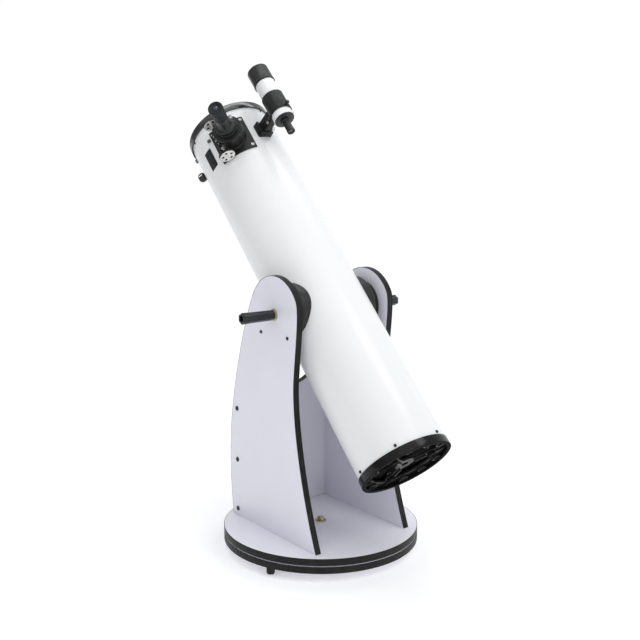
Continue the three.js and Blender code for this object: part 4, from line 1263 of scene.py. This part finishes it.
def rear_housing():
    profile = [
        (9.4, 475.6, 0.3), (13.4, 475.6, 0.3), (14, 475, 0.3), (20.4, 475, 0.5), (23, 476.4, 0.8),
        (26.6, 476.4, 0.4), (27.6, 477.4, 0.5), (27.6, 480), (9.4, 480),
    ]
    return hollow(profile)


def dew_shield():
    profile = [
        (26.3, 609), (30.4, 609, 0.6), (30.4, 617, 0.5), (29.8, 618, 0.3), (29.8, 661, 0.9),
        (27.8, 661, 0.7), (27.8, 633), (26.3, 633),
    ]
    return hollow(profile)


def finder_eyepiece():
    """A ribbed focusing barrel with a lip and a dished eye end, along the finder's axis."""
    ribs = ridged(30, 0.03)
    profile = [(0, 438), (6, 437.6), (8.2, 435), (8.8, 434.3), (10.2, 434), (11, 434.8), (11, 440.4)]
    profile += [(10.2, 441.4), (10.2, 444, ribs), (10.2, 468, ribs), (10.2, 470.4), (12.6, 471.8)]
    profile += [(12.6, 474.7), (9, 474.7), (9, 487), (0, 487)]
    return turned(profile, 120)


def shoe_screw():
    knurl = ridged(28, 0.05)
    head = [(0, 34), (4.8, 34), (6, 33.2, knurl), (6, 25, knurl), (4.9, 24.2), (3, 24.2), (3, 22.6)]
    return turned(head + [(2, 22.6), *thread(2, 16.6, 22.4, 0.8)[::-1], (0, 16)], 112)


def build_finder():
    refine("finder_shoe", finder_shoe(), CAST_BLACK, FINDER)
    refine("shoe_screw", shoe_screw(), STEEL, FINDER @ SHOE_SHIFT @ SHOE_SCREW)
    refine("finder_bracket", finder_bracket(), CAST_BLACK, FINDER)
    cheek = FINDER @ SHOE_SHIFT @ at(STALK_SCREW_X, 10.4, STALK_SCREW_Z) @ Z_TO_Y
    add("stalk_washer", ring(1.8, 4.6, 0, 0.7, 0.15, 40), STEEL, "finder_bracket", cheek)
    add("stalk_screw", socket_head(3, 1.8, 0.6), STEEL, "finder_bracket", cheek @ at(0, 0, 0.7))
    refine("bracket_screw_top", collar_screw(), MOULDED, collar_place(0))
    refine("bracket_screw_side", collar_screw(), MOULDED, collar_place(90))
    refine("spring_plunger", plunger(), MOULDED, collar_place(225))
    refine("finder_tube", finder_tube(), ENAMEL, ON_FINDER)
    refine("finder_rear_housing", rear_housing(), MOULDED, ON_FINDER)
    refine("finder_dew_shield", dew_shield(), MOULDED, ON_FINDER)
    lens = [(0, 617), (25.6, 618.5), (25.6, 623), (24, 623.5), (18, 624.6), (10, 625.3), (0, 625.6)]
    refine("finder_objective", turned(lens, 96), GLASS, ON_FINDER)
    refine("finder_eyepiece", finder_eyepiece(), MOULDED, ON_FINDER)
    eye = [(0, 437.9), (5, 437.7), (5, 437.2), (3, 436.9), (0, 436.8)]
    add("finder_eye_lens", turned(eye, 48), GLASS, "finder_eyepiece", ON_FINDER)


def build_side_knob():
    """A round knob on a stud, with a white bar across its face and down its flanks, a painted highlight."""
    grip_form = ridged(12, 0.05)
    base = TUBE_RADIUS + 0.5
    profile = [(0, base), (8, base), (8, base + 2), (5, base + 3), (9.5, base + 4.6)]
    profile += [(r, base + z, grip_form) for r, z in ((12.6, 7), (13.5, 10), (13.5, 17.5))]
    profile += [(12, base + 21), (9.5, base + 23.5), (5, base + 25), (0, base + 25.4)]
    where = side_place(146, 558)
    refine("side_knob", turned(profile, 96), MOULDED, where)
    # the white bar and the strips down the flanks are a painted highlight on the dark knob
    bar = block((-9.5, -2.2, base + 22), (9.5, 2.2, base + 25.8), 0.6)
    flanks = [block((-1.8, y - 0.9, base + 8), (1.8, y + 0.9, base + 20), 0.4) for y in (-13.3, 13.3)]
    add("side_knob_highlight_bar", join(bar, *flanks), ENAMEL, "side_knob", where)


# ---- stage ----

# The camera and the lights are placed in metres.
CAMERA_PLACE = Vector((-1.5964, -2.0534, 1.0730))
CAMERA_YAW = 37.785  # clockwise from +Y, seen from above
CAMERA_PITCH = 10.034  # below the horizon
CAMERA_ROLL = 0.173
CAMERA_LENS = 56.95  # on a 36 mm sensor

WALL_TOP = 0.2  # the sine of its height above the horizon
WALL_LIGHT = (1.02, 1.02, 1.02)
LEFT_WALL_LIGHT = (0.3, 0.3, 0.31)
LEFT_WALL_AWAY = (0.86, -0.5, 0)  # points away from its middle
CEILING_LIGHT = (0.74, 0.755, 0.78)
FLOOR_GLOW = 0.2

OVERHEAD_PLACE = Vector((0.4, 0.28, 3.1))
FRONT_RIGHT_PLACE = Vector((0.7, -1.6, 2.8))
FRONT_RIGHT_TARGET = Vector((0, -0.3, 0.4))
SKY_LIGHT_FROM = Vector((-0.2, -0.6, 0.78))
SKY_LIGHT_POWER = 0.55
SKY_LIGHT_SPREAD = 60


def add_camera():
    data = bpy.data.cameras.new("camera")
    data.lens = CAMERA_LENS
    data.sensor_width = 36
    data.clip_end = 50
    camera = link(data, "camera")
    aim = spin(-CAMERA_YAW) @ spin(90 - CAMERA_PITCH, "X") @ spin(CAMERA_ROLL)
    camera.matrix_world = Matrix.Translation(CAMERA_PLACE) @ aim
    bpy.context.scene.camera = camera


def aimed(direction):
    """The turn that points a light's own -Z along a direction."""
    return direction.to_track_quat("-Z", "Y").to_matrix().to_4x4()


def add_softbox(name, position, target, width, height, watts):
    data = bpy.data.lights.new(name, "AREA")
    data.shape = "RECTANGLE"
    data.size = width
    data.size_y = height
    data.energy = watts
    link(data, name).matrix_world = Matrix.Translation(position) @ aimed(target - position)


def world_blend(tree, value, start, end, colors):
    """A colour that goes from A to B as a value goes from start to end."""
    inputs = {"Value": value, "From Min": start, "From Max": end}
    steps = make_node(tree, "ShaderNodeMapRange", inputs, interpolation_type="SMOOTHSTEP").outputs["Result"]
    return make_node(tree, "ShaderNodeMix", {"Factor": steps, **colors}, data_type="RGBA").outputs["Result"]


def studio_world():
    """White walls, dimmer on the left, under a slightly blue ceiling."""
    world = bpy.data.worlds.new("studio")
    world.use_nodes = True
    tree = world.node_tree
    direction = coordinates(tree, "Generated")
    sides = {0: direction, 1: LEFT_WALL_AWAY}
    from_left = make_node(tree, "ShaderNodeVectorMath", sides, operation="DOT_PRODUCT").outputs["Value"]
    up = make_node(tree, "ShaderNodeSeparateXYZ", {"Vector": direction}).outputs["Z"]
    walls = world_blend(tree, from_left, -0.8, -0.3, {"A": (*LEFT_WALL_LIGHT, 1), "B": (*WALL_LIGHT, 1)})
    whole = world_blend(tree, up, WALL_TOP, WALL_TOP + 0.3, {"A": walls, "B": (*CEILING_LIGHT, 1)})
    fill(tree.nodes["Background"], {"Color": whole})
    return world


def add_floor():
    floor = slab(arc((0, 0), 9000, 0, 360, 96)[:-1], -20, -0.2)
    bmesh.ops.recalc_face_normals(floor, faces=floor.faces)
    floor.transform(Matrix.Scale(MM, 4))
    mesh = bpy.data.meshes.new("floor")
    floor.to_mesh(mesh)
    floor.free()
    mesh.materials.append(pale_floor())
    link(mesh, "floor")


def add_sky_light():
    """A very soft sun that lights the whole floor evenly."""
    data = bpy.data.lights.new("sky_light", "SUN")
    data.energy = SKY_LIGHT_POWER
    data.angle = math.radians(SKY_LIGHT_SPREAD)
    link(data, "sky_light").matrix_world = aimed(-SKY_LIGHT_FROM)


def add_stage():
    bpy.context.scene.world = studio_world()
    bpy.context.scene.view_settings.view_transform = "Standard"
    add_softbox("overhead", OVERHEAD_PLACE, OVERHEAD_PLACE * Vector((1, 1, 0)), 3.2, 0.35, 12)
    add_softbox("front_right", FRONT_RIGHT_PLACE, FRONT_RIGHT_TARGET, 0.9, 0.9, 9)
    add_sky_light()
    add_floor()


build_ground()
build_rocker()
build_tube()
build_plate()
build_mirrors()
build_altitude()
build_focuser()
build_finder()
build_side_knob()
add_camera()
add_stage()
